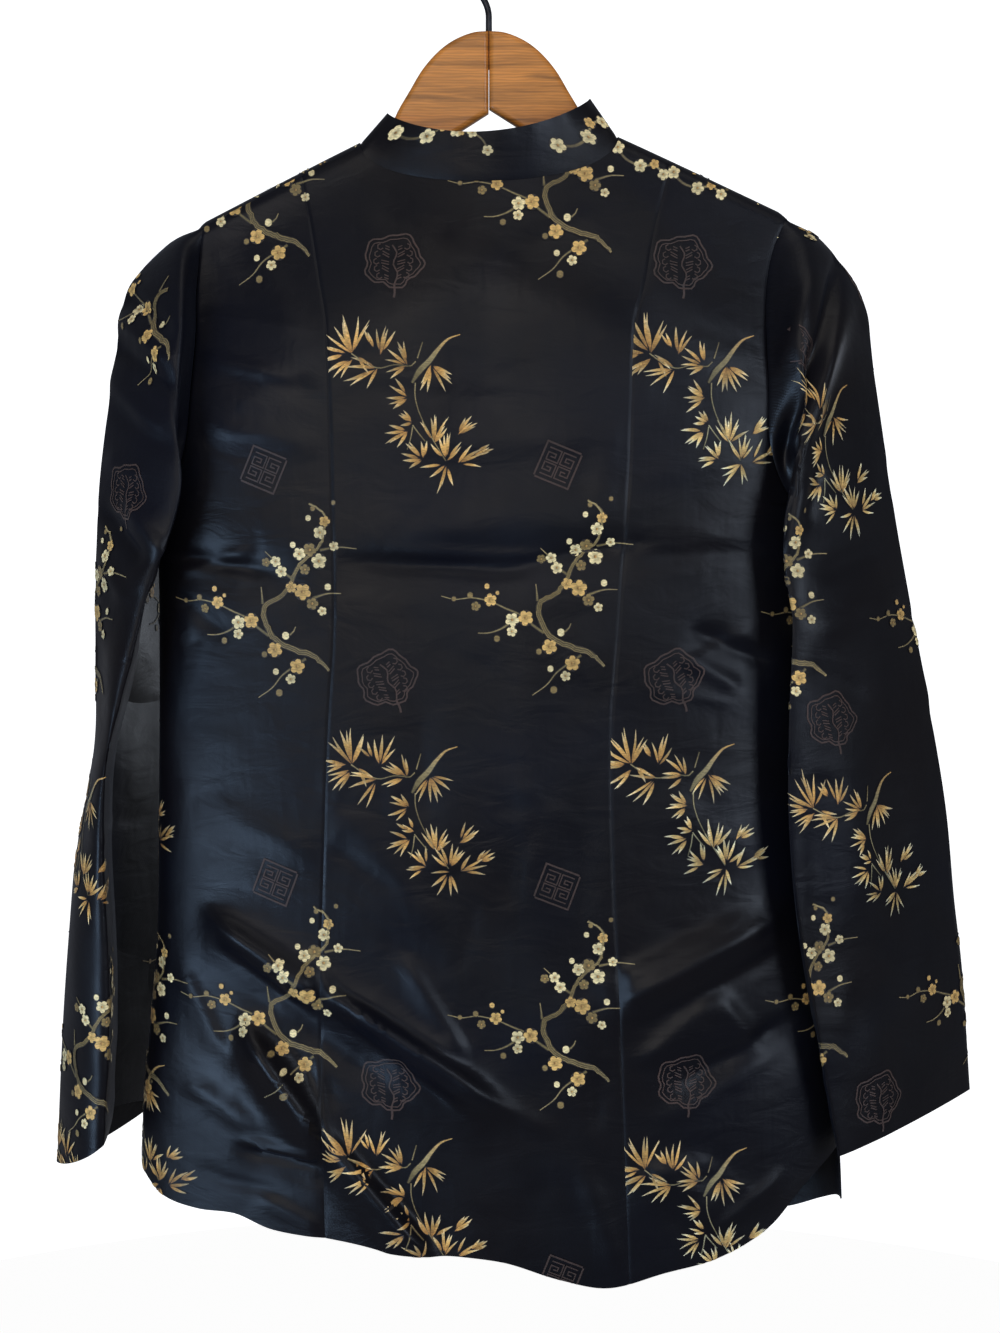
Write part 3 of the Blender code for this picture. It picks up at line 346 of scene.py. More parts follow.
def beside_line(line, x, z, past, fade_share):
    """Places along and across a line as seen from behind, its length and its fade.

    The fade is 1 along the middle of the line and falls to 0 a share of the length past
    each end.
    """
    dx, dz = line.x2 - line.x1, line.z2 - line.z1
    length = hypot(dx, dz)
    along = ((x - line.x1) * dx + (z - line.z1) * dz) / length
    across = ((x - line.x1) * dz - (z - line.z1) * dx) / length
    fade = smoothstep((along + past * length) / (fade_share * length))
    fade = fade * smoothstep(((1.0 + past) * length - along) / (fade_share * length))
    return along, across, length, fade


def fold_height(folds, x, z):
    total = np.zeros_like(x)
    for fold in folds:
        _, across, _, fade = beside_line(fold, x, z, FOLD_PAST, FOLD_FADE)
        total += fold.height * fade * np.exp(-(across / fold.half_width) ** 2)
    return total


def pleat_height(pleats, x, z):
    total = np.zeros_like(x)
    for pleat in pleats:
        along, across, length, fade = beside_line(pleat, x, z, PLEAT_PAST, PLEAT_FADE)
        soft = pleat.soft * (0.55 + 0.45 * np.clip(along / length, 0.0, 1.0))
        flank = np.abs(np.where(across > 0.0, across / soft, across / pleat.steep))
        total += pleat.height * fade * np.exp(-np.where(across > 0.0, flank ** 1.6, flank ** 2))
    return total


def turn_of(x, height):
    """The turn round the body's section, 0 at its middle and a right angle at its side."""
    share = (x - lookup(BODY, height, "centre")) / lookup(BODY, height, "half_width")
    return np.sign(share) * np.arcsin(np.minimum(np.abs(share), 1.0) ** (SIDE_POWER / 2))


def across_of(turn, height):
    share = np.sign(turn) * np.abs(np.sin(turn)) ** (2 / SIDE_POWER)
    return lookup(BODY, height, "centre") + lookup(BODY, height, "half_width") * share


def section_lengths():
    """Distance round a typical quarter section, from its middle, at evenly spaced turns."""
    turns = np.linspace(0.0, pi / 2, SECTION_STEPS + 1)
    x = TYPICAL_SECTION.half_width * np.sin(turns) ** (2 / SIDE_POWER)
    y = TYPICAL_SECTION.back * np.maximum(np.cos(turns), 0.0) ** (2 / SIDE_POWER)
    return turns, running(np.hypot(np.diff(x), np.diff(y)))


SECTION_TURNS, SECTION_LENGTHS = section_lengths()


def length_of(turn):
    return np.sign(turn) * np.interp(np.abs(turn), SECTION_TURNS, SECTION_LENGTHS)


def turn_at(length):
    return np.sign(length) * np.interp(np.abs(length), SECTION_LENGTHS, SECTION_TURNS)


def body_surface(turn, x, reach):
    """The outer face of the cloth."""
    out, drop = over_shoulder(reach)
    z = crest(x) - drop
    back = reach < 0.0
    side = np.where(back, -1.0, 1.0)
    depth = np.where(back, lookup(BODY, z, "back"), lookup(BODY, z, "front"))
    widening = smoothstep(drop / WIDENING_DROP)
    level = np.abs(np.cos(turn)) ** (2 / SIDE_POWER)
    y = out * (1.0 - widening * (1.0 - level)) + side * (depth - CREST_RADIUS) * widening * level
    fold = np.where(back, fold_height(BACK_FOLDS, x, z), fold_height(FRONT_FOLDS, x, z))
    return np.stack([x, y + side * fold * np.sqrt(level) * widening, z], axis=-1)


def neck_edge(alpha):
    """The neckline: its x and its distance over the crest; alpha runs from the back's middle."""
    x = NECK_HALF_WIDTH * np.sin(alpha)
    level = np.cos(alpha)
    fall = np.where(level > 0, NECK_BACK_DROP * np.abs(level) ** 0.9,
                    NECK_FRONT_DROP * np.abs(level) ** 1.1)
    height = NECK_SIDE_HEIGHT - fall + NECK_TILT * x
    return x, reach_at(x, height, np.where(level > 0, -1.0, 1.0))


def neck_turn(columns, share):
    return np.radians(np.interp(share, [c.share for c in columns], [c.degrees for c in columns]))


def armhole_across(hand, share):
    """x of the armhole seam at a share of its way down; it curves out to the underarm."""
    x = lookup(ARMHOLE, share, HAND_NAME[hand])
    underarm = across_of(np.array(hand * pi / 2), UNDERARM_HEIGHT)
    turn = np.clip((share - UNDERARM_CURVE_START) / (1.0 - UNDERARM_CURVE_START), 0.0, 1.0)
    return x + (underarm - x) * (1.0 - np.sqrt(1.0 - turn * turn))


def seam_reach(side):
    """Distance of the shoulder seam behind the crest, for the piece on this side of it."""
    return -CREST_RADIUS * SHOULDER_SEAM_ANGLE + side * SEAM_OVERLAP


def underarm_share(side, hand):
    """How far down a side panel the underarm is."""
    x = across_of(np.array(hand * pi / 2), UNDERARM_HEIGHT)
    top = seam_reach(side)
    bottom = reach_at(x, lookup(HEM, x, "back" if side < 0 else "front"), side)
    return float((reach_at(x, UNDERARM_HEIGHT, side) - top) / (bottom - top))


class Panel:
    """A stretch of the body's cloth between two long edges.

    s runs across it from its first edge to its last and v runs down it from its top
    edge to the hem.  side is -1 on the back and 1 on the front.
    """

    def __init__(self, side, edges, top, corners):
        self.side = side
        self.edges = edges
        self.top = top
        self.corners = corners

    def hem_reach(self, x):
        return reach_at(x, lookup(HEM, x, "back" if self.side < 0 else "front"), self.side)

    def edge(self, number, v):
        """Turn, x, height and reach of a long edge at v; the seam's half gap is taken off."""
        kind, hand = self.edges[number]
        inward = 1.0 if number == 0 else -1.0
        top_reach = self.top(np.array([float(number)]))[1][0]
        underarm = underarm_share(self.side, hand)
        x, z = np.full(v.shape, hand * 100.0), np.full(v.shape, -200.0)
        for _ in range(SOLVE_STEPS):
            if kind == "middle":
                x = np.full(v.shape, inward * FRONT_HALF_GAP)
            elif kind == "princess":
                x = lookup(PRINCESS, z, HAND_NAME[hand]) + inward * SEAM_OVERLAP
            else:
                above = armhole_across(hand, np.clip(v / underarm, 0.0, 1.0)) - hand * SEAM_OVERLAP
                x = np.where(v < underarm, above, across_of(np.array(hand * pi / 2), z))
            turn = turn_of(x, z)
            reach = mix(top_reach, self.hem_reach(x), v)
            z = crest(x) - over_shoulder(reach)[1]
        return turn, x, z, reach

    def edge_points(self, number, v):
        turn, x, _, reach = self.edge(number, v)
        return body_surface(turn, x, reach)

    def grid(self, s, v):
        """Points of the panel for every v and s."""
        top_x, top_reach = self.top(s)
        first, last = self.edge(0, v), self.edge(1, v)
        turn = turn_at(mix(length_of(first[0])[:, None], length_of(last[0])[:, None], s))
        z = mix(first[2][:, None], last[2][:, None], s)
        start, end = (self.edge(number, np.zeros(1))[0][0] for number in (0, 1))
        top_z = crest(top_x) - over_shoulder(top_reach)[1]
        free = across_of(turn_at(mix(length_of(start), length_of(end), s)), top_z)
        fade = np.maximum(1.0 - v / TOP_EDGE_SHARE, 0.0) ** 2
        pull = (top_x - free) * fade[:, None]
        for _ in range(SOLVE_STEPS):
            x = across_of(turn, z) + pull
            reach = mix(top_reach, self.hem_reach(x), v[:, None])
            z = crest(x) - over_shoulder(reach)[1]
        return body_surface(turn, x, reach)


def top_of_centre_back(s):
    """The shoulder seam, the back of the neck and the other shoulder seam."""
    hand = np.where(s < 0.5, -1.0, 1.0)
    share = np.abs(2.0 * s - 1.0)
    corner = NECK_BACK[-1].share
    neck_x, neck_reach = neck_edge(hand * neck_turn(NECK_BACK, np.minimum(share, corner)))
    end = np.where(hand < 0, lookup(PRINCESS, SEAM_TOP[-1], "left") + SEAM_OVERLAP,
                   lookup(PRINCESS, SEAM_TOP[1], "right") - SEAM_OVERLAP)
    start = hand * NECK_HALF_WIDTH * sin(NECK_SEAM_TURN)
    beyond = (share - corner) / (1.0 - corner)
    x = np.where(share <= corner, neck_x, mix(start, end, beyond))
    return x, np.where(share <= corner, np.minimum(neck_reach, seam_reach(-1)), seam_reach(-1))


def top_of_side_back(hand):
    """The shoulder seam from the princess seam to the armhole, first edge on the left."""
    inner = lookup(PRINCESS, SEAM_TOP[hand], HAND_NAME[hand]) + hand * SEAM_OVERLAP
    outer = armhole_across(hand, 0.0) - hand * SEAM_OVERLAP
    first, last = (inner, outer) if hand > 0 else (outer, inner)

    def top(s):
        return mix(first, last, s), np.full(s.shape, seam_reach(-1))
    return top


def top_of_front(hand):
    """The front of the neck and the shoulder seam."""
    start = hand * NECK_HALF_WIDTH * sin(NECK_SEAM_TURN)
    outer = armhole_across(hand, 0.0) - hand * SEAM_OVERLAP
    corner = NECK_FRONT[-1].share

    def top(s):
        share = s if hand > 0 else 1.0 - s
        neck_x, neck_reach = neck_edge(hand * neck_turn(NECK_FRONT, np.minimum(share, corner)))
        neck_x = neck_x + hand * FRONT_HALF_GAP * (1.0 - np.minimum(share / corner, 1.0))
        beyond = (share - corner) / (1.0 - corner)
        x = np.where(share <= corner, neck_x, mix(start, outer, beyond))
        return x, np.where(share <= corner, np.maximum(neck_reach, seam_reach(1)), seam_reach(1))
    return top


def body_panels():
    """Every panel of the body by its node's name."""
    panels = {"back_centre": Panel(-1, (("princess", -1), ("princess", 1)), top_of_centre_back,
                                   (0.5 - NECK_BACK[-1].share / 2, 0.5 + NECK_BACK[-1].share / 2))}
    for hand in (-1, 1):
        edges = (("princess", 1), ("side", 1)) if hand > 0 else (("side", -1), ("princess", -1))
        panels["back_side_" + HAND_NAME[hand]] = Panel(-1, edges, top_of_side_back(hand), ())
        edges = (("middle", 1), ("side", 1)) if hand > 0 else (("side", -1), ("middle", -1))
        corner = NECK_FRONT[-1].share
        corners = (corner,) if hand > 0 else (1.0 - corner,)
        panels["front_" + HAND_NAME[hand]] = Panel(1, edges, top_of_front(hand), corners)
    return panels


# ================================================================ the sleeves' cloth
def sleeve_columns(hand, per_side):
    """The armhole seam round a sleeve: turn and seam point, with the way out of the panel."""
    number, inside = (1, 0.98) if hand > 0 else (0, 0.02)
    turns, seams, outs = [], [], []
    panels = body_panels()
    for side in (-1, 1):
        panel = panels[("back_side_" if side < 0 else "front_") + HAND_NAME[hand]]
        underarm = underarm_share(side, hand)
        angle = np.linspace(0.0, pi, per_side + 1)[:-1] if side < 0 \
            else np.linspace(pi, 0.0, per_side + 1)[:-1]
        v = underarm * (1.0 - np.cos(angle)) / 2.0
        seam = panel.edge_points(number, v)
        near = panel.grid(np.array([inside]), v)[:, 0]
        turns.append(angle if side < 0 else 2 * pi - angle)
        seams.append(seam)
        outs.append(seam - near)
    return np.concatenate(turns), np.concatenate(seams), np.concatenate(outs)


def square_to(vectors, lines):
    lines = unit(lines)
    return unit(vectors - lines * np.sum(vectors * lines, axis=-1, keepdims=True))


def section_points(section, turns, flat):
    corners = np.array(section, dtype=float)
    middle = (corners[0] + corners[2]) / 2
    quarter = (turns / (pi / 2)).astype(int) % 4
    power = mix(1.0, np.array(FLATNESS)[quarter], flat)[:, None]
    angle = (turns - quarter * pi / 2)[:, None]
    start, end = corners[quarter] - middle, corners[(quarter + 1) % 4] - middle
    level = np.maximum(np.cos(angle), 0.0)
    return middle + start * level ** power + end * np.maximum(np.sin(angle), 0.0) ** power


def sleeve_grid(hand, per_side, rows):
    """Rows of points down a sleeve; its columns go once round it from the shoulder seam."""
    sections = SLEEVE_LEFT if hand < 0 else SLEEVE_RIGHT
    turns, seams, outs = sleeve_columns(hand, per_side)
    rings = [section_points(section, turns % (2 * pi), min(k / FLAT_FROM_SECTION, 1.0))
             for k, section in enumerate(sections)]
    line = np.roll(seams, -1, axis=0) - np.roll(seams, 1, axis=0)
    away = square_to(square_to(outs, line) + square_to(rings[0] - seams, line), line)
    points = np.array([seams + away * SLEEVE_SEAM_OFFSET] + rings)
    last = len(points) - 1
    strip = STRIP_END_SHARE * np.linspace(0.12, 1.0, SLEEVE_STRIP_ROWS)
    shares = np.concatenate([[0.0], strip, rows[rows > STRIP_END_SHARE]])
    place = shares * last
    k = np.minimum(place.astype(int), last - 1)
    t = (place - k)[:, None, None]
    a, b = points[k], points[k + 1]
    before, after = points[np.maximum(k - 1, 0)], points[np.minimum(k + 2, last)]
    slope_a = (b - before) * np.where(k > 0, 0.5, 1.0)[:, None, None]
    slope_b = (after - a) * np.where(k + 2 < len(points), 0.5, 1.0)[:, None, None]
    return hermite(t, a, slope_a, b, slope_b)


# ================================================================ the collar's cloth
def collar_grid(turns, shares):
    """The collar's outer face: rows from its free edge down to the neck seam."""
    x, reach = neck_edge(turns)
    z = crest(x) - over_shoulder(reach)[1]
    seam = body_surface(turn_of(x, z), x, reach)
    level = np.cos(turns)
    depth = np.where(level > 0, COLLAR_TOP_BACK_DEPTH, COLLAR_TOP_FRONT_DEPTH)
    drop = np.where(level > 0, COLLAR_TOP_BACK_DROP * np.abs(level) ** 1.5,
                    COLLAR_TOP_FRONT_DROP * np.abs(level) ** 1.1)
    top_x = COLLAR_TOP_HALF_WIDTH * np.sin(turns)
    top_z = COLLAR_TOP_SIDE_HEIGHT - drop + COLLAR_TILT * top_x
    top = np.stack([top_x, -depth * level, top_z], axis=-1)
    seam = seam + unit(top - seam) * COLLAR_SEAM_OVERLAP
    return mix(seam[None], top[None], shares[:, None, None])


# ================================================================ cloth sheets
class Sheet:
    """A rectangular grid of points of cloth, with its flat coordinates in millimetres."""

    def __init__(self, points, closed=False):
        self.points = points
        self.closed = closed
        self.normals = self.grid_normals(points)

    def grid_normals(self, points):
        if self.closed:
            across = np.roll(points, -1, axis=1) - np.roll(points, 1, axis=1)
        else:
            across = np.gradient(points, axis=1)
        down = np.gradient(points, axis=0)
        return unit(np.cross(down, across))

    def face_outward(self, reference):
        """Turn the normals the way the reference vectors point."""
        if np.sum(self.normals * reference) < 0.0:
            self.normals = -self.normals
        self.flip = np.sum(self.grid_normals(self.points) * self.normals) < 0.0

    def displace(self, heights):
        self.points = self.points + self.normals * heights[..., None]
        turned = self.grid_normals(self.points)
        self.normals = -turned if self.flip else turned


def edge_distance(points):
    """Distance of each grid point to the first and the last column, along its row."""
    steps = np.linalg.norm(np.diff(points, axis=1), axis=-1)
    run = running(steps, 1)
    return run, run[:, -1:] - run


def small_creases(seed, x_range, z_range, count):
    """Short soft creases at uneven places, for cloth that has hung on a hanger."""
    pick = Random(seed)
    made = []
    for _ in range(count):
        x, z = pick.uniform(*x_range), pick.uniform(*z_range)
        length = pick.uniform(0.35, 1.0) * SMALL_CREASE_LONGEST
        slope = pick.gauss(-8.0, 26.0) if pick.random() < 0.7 else pick.gauss(80.0, 14.0)
        dx, dz = length / 2 * cos(radians(slope)), length / 2 * sin(radians(slope))
        height = pick.choice((-1.0, 1.0)) * pick.uniform(0.4, 1.0) * SMALL_CREASE_HEIGHT
        made.append(Fold(x - dx, z - dz, x + dx, z + dz,
                         pick.uniform(0.4, 1.0) * SMALL_CREASE_WIDEST, height))
    return tuple(made)


def panel_sheet(panel):
    """The sheet of one panel of the body and its flat coordinates."""
    width = abs(float(np.ptp([panel.edge(k, np.array([0.5]))[1][0] for k in (0, 1)])))
    count = int(width * PANEL_ROUND_SHARE / GRID_PITCH) + 1
    beside = np.array(BESIDE_SEAM) / width
    s = np.unique(np.concatenate([np.linspace(0.0, 1.0, count), np.array(panel.corners),
                                  beside, 1.0 - beside]))
    v = np.concatenate([np.arange(0.0, FINE_TOP, FINE_TOP_STEP),
                        np.linspace(FINE_TOP, 1.0, int(PANEL_LENGTH / GRID_PITCH))])
    points = panel.grid(s, v)
    sheet = Sheet(points)
    sheet.face_outward(np.broadcast_to((0.0, float(panel.side), 0.0), points.shape))
    x, z = points[..., 0], points[..., 2]
    folds = BACK_CREASES if panel.side < 0 else FRONT_CREASES
    small = small_creases(SMALL_CREASE_SEED + panel.side, (-200.0, 200.0), (-840.0, -180.0),
                          SMALL_CREASES)
    level = np.sqrt(np.abs(np.cos(turn_of(x, z))) ** (2 / SIDE_POWER))
    pleats = BACK_PLEATS if panel.side < 0 else FRONT_PLEATS
    height = (fold_height(folds, x, z) * CREASE_STRENGTH + fold_height(small, x, z)
              + pleat_height(pleats, x, z)) * level
    first, last = edge_distance(points)
    holds = smoothstep(v / TOP_HOLD_SHARE)[:, None] * np.ones_like(x)
    height = height * holds * smoothstep(np.minimum(first, last) / SEAM_HOLD)
    for distance in (first, last):
        height = height - SEAM_VALLEY_DEPTH * np.exp(-(distance / SEAM_VALLEY_WIDTH) ** 2)
    sheet.displace(height)
    turn = turn_of(x, z)
    half = lookup(BODY, z, "half_width") / TYPICAL_SECTION.half_width
    sheet.flat = np.stack([length_of(turn) * half, z], axis=-1)
    return sheet


def sleeve_sheet(hand):
    """The sheet of one sleeve; its columns go once round from the underarm."""
    points = sleeve_grid(hand, SLEEVE_HALF_COLUMNS, np.linspace(0.0, 1.0, SLEEVE_ROWS))
    points = np.roll(points, -SLEEVE_HALF_COLUMNS, axis=1)
    sheet = Sheet(points, closed=True)
    sheet.face_outward(points - points.mean(axis=1, keepdims=True))
    x, z = points[..., 0], points[..., 2]
    back = smoothstep(0.35 - sheet.normals[..., 1] * 1.6)
    front = smoothstep(0.35 + sheet.normals[..., 1] * 1.6)
    folds = SLEEVE_CREASES[hand]
    shifted = tuple(Fold(f.x1, f.z1 - SLEEVE_FRONT_DROP, f.x2, f.z2 - SLEEVE_FRONT_DROP,
                         f.half_width * 1.2, f.height * 0.8) for f in folds)
    small = small_creases(SMALL_CREASE_SEED + 5 * hand, SLEEVE_SPAN[hand], (-780.0, -220.0),
                          SLEEVE_SMALL_CREASES)
    height = (fold_height(folds, x, z) * back + fold_height(shifted, x, z) * front) * CREASE_STRENGTH
    height = height + fold_height(small, x, z)
    steps = np.linalg.norm(np.diff(points, axis=0), axis=-1)
    run = running(steps)
    height = height * smoothstep(run / SLEEVE_HOLD)
    height = height - SEAM_VALLEY_DEPTH * 0.8 * np.exp(-(run / SEAM_VALLEY_WIDTH) ** 2)
    sheet.displace(height)
    ring = np.concatenate([points, points[:, :1]], axis=1)
    around = running(np.linalg.norm(np.diff(ring, axis=1), axis=-1), 1)
    w = -hand * (around - around[:, SLEEVE_HALF_COLUMNS:SLEEVE_HALF_COLUMNS + 1])
    axis = np.array([SLEEVE_LEAN * hand, 0.0, -1.0])
    axis = axis / np.linalg.norm(axis)
    t = -(ring @ axis)
    sheet.flat = np.stack([w, t], axis=-1)
    return sheet


def collar_sheet():
    """The sheet of the stand collar, from one centre-front end round the back to the other."""
    end = pi - COLLAR_FRONT_GAP / COLLAR_TOP_HALF_WIDTH
    turns = np.linspace(-end, end, COLLAR_COLUMNS)
    points = collar_grid(turns, np.linspace(1.0, 0.0, COLLAR_ROWS))
    sheet = Sheet(points)
    x, z = points[..., 0], points[..., 2]
    sheet.face_outward(np.stack([x, points[..., 1] + 4.0, 0.0 * x], axis=-1))
    down = np.linspace(0.0, 1.0, COLLAR_ROWS)[:, None]
    wave = 0.35 * np.sin(turns * 7.0 + 0.6) + 0.2 * np.sin(turns * 17.0)
    height = wave * (1.0 - down) ** 2 - SEAM_VALLEY_DEPTH * 0.9 * smoothstep((down - 0.86) / 0.14)
    sheet.displace(height * np.ones_like(x) - 0.25)
    run = running(np.linalg.norm(np.diff(points[0], axis=0), axis=-1))
    sheet.flat = np.stack([np.broadcast_to(run - run[-1] / 2, x.shape), z], axis=-1)
    return sheet


# ================================================================ meshes
def link(name, data):
    made = bpy.data.objects.new(name, data)
    bpy.context.scene.collection.objects.link(made)
    return made


def mesh_object(name, verts, faces, material):
    mesh = bpy.data.meshes.new(name)
    mesh.from_pydata([tuple(v) for v in verts], [], faces)
    mesh.materials.append(material)
    mesh.validate()
    mesh.polygons.foreach_set("use_smooth", [True] * len(mesh.polygons))
    mesh.update()
    return link(name, mesh)


def cloth_object(name, sheet, material):
    """A thin shell on a sheet: its outer face, its inner face and a rounded folded edge."""
    outer = sheet.points * MM
    inner = (sheet.points - sheet.normals * WALL) * MM
    rows, columns = outer.shape[:2]
    count = rows * columns
    index = np.arange(count).reshape(rows, columns)
    wrap = np.concatenate([index, index[:, :1]], axis=1) if sheet.closed else index
    flat = sheet.flat * MM
    flat_index = np.arange(flat.shape[0] * flat.shape[1]).reshape(flat.shape[:2])

    def quads(table):
        around = [table[:-1, :-1], table[:-1, 1:], table[1:, 1:], table[1:, :-1]]
        return np.stack(around, axis=-1).reshape(-1, 4)

    faces, corners = quads(wrap), quads(flat_index)
    if not sheet.flip:
        faces_out, faces_in = faces, faces[:, ::-1] + count
        corners_out, corners_in = corners, corners[:, ::-1]
    else:
        faces_out, faces_in = faces[:, ::-1], faces + count
        corners_out, corners_in = corners[:, ::-1], corners
    # the edge's own row of points bulges a little past the two faces
    borders = [(wrap[0], flat_index[0], 0, 1), (wrap[-1], flat_index[-1], -1, -2)]
    if not sheet.closed:
        borders += [(wrap[:, 0], flat_index[:, 0], 0, 1), (wrap[:, -1], flat_index[:, -1], -1, -2)]
    verts = [outer.reshape(-1, 3), inner.reshape(-1, 3)]
    rim_faces, rim_corners = [], []
    total = 2 * count
    for number, (line, flats, edge, beside) in enumerate(borders):
        along_rows = number < 2
        rim = (outer[edge] if along_rows else outer[:, edge])
        near = (outer[beside] if along_rows else outer[:, beside])
        normal = (sheet.normals[edge] if along_rows else sheet.normals[:, edge])
        bulge = RIM_BULGE if along_rows and edge == -1 else 0.0
        middle = rim - normal * WALL * 0.5 * MM + unit(rim - near) * bulge * MM
        if sheet.closed:
            middle = np.concatenate([middle, middle[:1]])
        start = total
        verts.append(middle)
        total += len(middle)
        mid = np.arange(start, total)
        a = np.stack([line[:-1], line[1:], mid[1:], mid[:-1]], axis=-1)
        b = np.stack([mid[:-1], mid[1:], line[1:] + count, line[:-1] + count], axis=-1)
        c = np.stack([flats[:-1], flats[1:], flats[1:], flats[:-1]], axis=-1)
        turned = (edge == 0) != along_rows
        if sheet.flip:
            turned = not turned
        for part in (a, b):
            rim_faces.append(part if turned else part[:, ::-1])
            rim_corners.append(c if turned else c[:, ::-1])
    faces = np.concatenate([faces_out, faces_in] + rim_faces)
    corners = np.concatenate([corners_out, corners_in] + rim_corners)
    mesh = bpy.data.meshes.new(name)
    mesh.from_pydata(np.concatenate(verts).tolist(), [], faces.tolist())
    layer = mesh.uv_layers.new(name="cloth")
    layer.data.foreach_set("uv", flat.reshape(-1, 2)[corners.reshape(-1)].reshape(-1))
    mesh.polygons.foreach_set("use_smooth", [True] * len(mesh.polygons))
    mesh.materials.append(material)
    mesh.update()
    mesh.set_sharp_from_angle(angle=radians(CLOTH_SHARP_ANGLE))
    return link(name, mesh)


class ClothMap:
    """Finds the place on a sheet's outer face of a point of its flat coordinates."""

    def __init__(self, sheet):
        points, normals = sheet.points, sheet.normals
        if sheet.closed:
            points = np.concatenate([points, points[:, :1]], axis=1)
            normals = np.concatenate([normals, normals[:, :1]], axis=1)
        flat = sheet.flat
        rows, columns = points.shape[:2]
        index = np.arange(rows * columns).reshape(rows, columns)
        a, b, c, d = index[:-1, :-1], index[:-1, 1:], index[1:, 1:], index[1:, :-1]
        self.faces = np.concatenate([np.stack([a, b, c], axis=-1).reshape(-1, 3),
                                     np.stack([a, c, d], axis=-1).reshape(-1, 3)]).tolist()
        self.points = points.reshape(-1, 3)
        self.normals = normals.reshape(-1, 3)
        self.flat = np.concatenate([flat.reshape(-1, 2), np.zeros((rows * columns, 1))], axis=-1)
        self.laid = BVHTree.FromPolygons(self.flat.tolist(), self.faces)
        self.worn = BVHTree.FromPolygons(self.points.tolist(), self.faces)

    def place(self, u, v, lift):
        """The point above the cloth at (u, v), and how far off the sheet's edge it was."""
        found, _, face, distance = self.laid.find_nearest((u, v, 0.0))
        ids = self.faces[face]
        weights = poly_3d_calc([Vector(self.flat[i]) for i in ids], found)
        point = sum(w * self.points[i] for w, i in zip(weights, ids))
        normal = sum(w * self.normals[i] for w, i in zip(weights, ids))
        return point + normal / np.linalg.norm(normal) * lift, distance

    def flat_of(self, origin, heading):
        """The flat coordinates of the first point of the cloth that a line meets."""
        found, _, face, _ = self.worn.ray_cast(origin, heading)
        if found is None:
            return None
        ids = self.faces[face]
        weights = poly_3d_calc([Vector(self.points[i]) for i in ids], found)
        return sum(w * self.flat[i][:2] for w, i in zip(weights, ids))


# ================================================================ woven figures
# A figure is made of strips: pairs of points down each, a colour for each pair, and its layer.
Strip = namedtuple("Strip", "left right colours layer")
LAYER_LIFT = 0.30
LAYER_STEP = 0.14

OUTLINE = (0.020, 0.013, 0.010)
LEAF_BASE = (0.43, 0.185, 0.038)
LEAF_MIDDLE = (0.72, 0.40, 0.105)
LEAF_TIP = (0.90, 0.70, 0.36)
STALK = (0.150, 0.110, 0.036)
BRANCH = (0.085, 0.060, 0.024)
BRANCH_LIGHT = (0.36, 0.27, 0.115)
PETAL = (0.86, 0.69, 0.35)
PETAL_GOLD = (0.74, 0.45, 0.135)
PETAL_DULL = (0.26, 0.175, 0.058)
PETAL_HEART = (0.20, 0.075, 0.015)
SHADOW_THREAD = (0.048, 0.024, 0.018)
FRET_THREAD = (0.044, 0.023, 0.018)
DARK = (OUTLINE, OUTLINE)
SHADOW = (SHADOW_THREAD, SHADOW_THREAD)

LeafFan = namedtuple("LeafFan", "x y start end count shortest longest")
BAMBOO_FANS = (
    LeafFan(13.5, -20, 62, 142, 6, 15, 25), LeafFan(10, -20, 162, 198, 3, 9, 13),
    LeafFan(14, -23, 204, 232, 3, 11, 18), LeafFan(17, -22, 302, 330, 2, 9, 12),
    LeafFan(31, -21, 52, 104, 3, 11, 20), LeafFan(27, -17, 108, 128, 2, 8, 10),
    LeafFan(29.5, -29, 158, 242, 4, 12, 21), LeafFan(48, -27.5, 92, 208, 5, 9, 15),
    LeafFan(62.5, -27, 238, 344, 5, 11, 17), LeafFan(49, -47, 122, 226, 5, 7, 14),
    LeafFan(52, -62.5, 118, 184, 3, 6, 9), LeafFan(49, -67.5, 166, 240, 4, 9, 15),
    LeafFan(65.5, -75, 42, 128, 6, 9, 18), LeafFan(80, -70, 16, 62, 4, 8, 13),
    LeafFan(59, -85, 84, 214, 5, 8, 13), LeafFan(73.5, -86, 48, 132, 5, 9, 16),
    LeafFan(73.5, -88, 194, 292, 4, 9, 16), LeafFan(80.5, -87.5, -6, 58, 3, 9, 19),
    LeafFan(90.5, -82.5, 12, 46, 3, 7, 11),
)
BAMBOO_STALK = ((51, -38), (56, -30), (61, -25), (67, -17), (73, -11), (80, -8.5))
BAMBOO_TWIGS = (((54, -23), (55.5, -18), (57, -13)), ((53, -38), (53, -46), (55, -54), (60, -65)),
                ((52, -64), (55, -68), (60, -74)), ((53, -25), (49.5, -28), (47, -28)),
                ((52, -65), (51, -72), (49, -79)), ((60, -65), (66, -75), (73, -86)),
                ((13, -20), (22, -26), (30, -29), (40, -27), (50, -28)))
PLUM_TRUNK = ((41, -43), (32, -34.5), (21, -31), (7, -24), (1, -14), (0, -4), (11, 3), (18, 12.5),
              (21, 20), (28, 28), (36, 35), (39, 46), (39.5, 53), (30, 61))
PLUM_BRANCHES = (
    ((3, -22), (-4, -17), (-11, -11), (-20, -7), (-29, -3), (-42, 0), (-53, -1), (-61, 1)),
    ((-17, -15), (-24, -19.5), (-32, -22), (-38, -22)),
    ((31, 2), (41, 5), (49, 5)),
    ((36, 32), (47, 34), (59, 33)),
    ((18, 14), (11, 19.5), (7, 25), (1, 31)),
    ((26.5, -36), (19, -41), (11, -47), (5.5, -54), (-4, -61)),
    ((-1, -2), (-1.5, 4), (-2, 8.5)),
    ((14, -22), (18, -20), (20, -16)),
)
Blossom = namedtuple("Blossom", "x y radius kind")
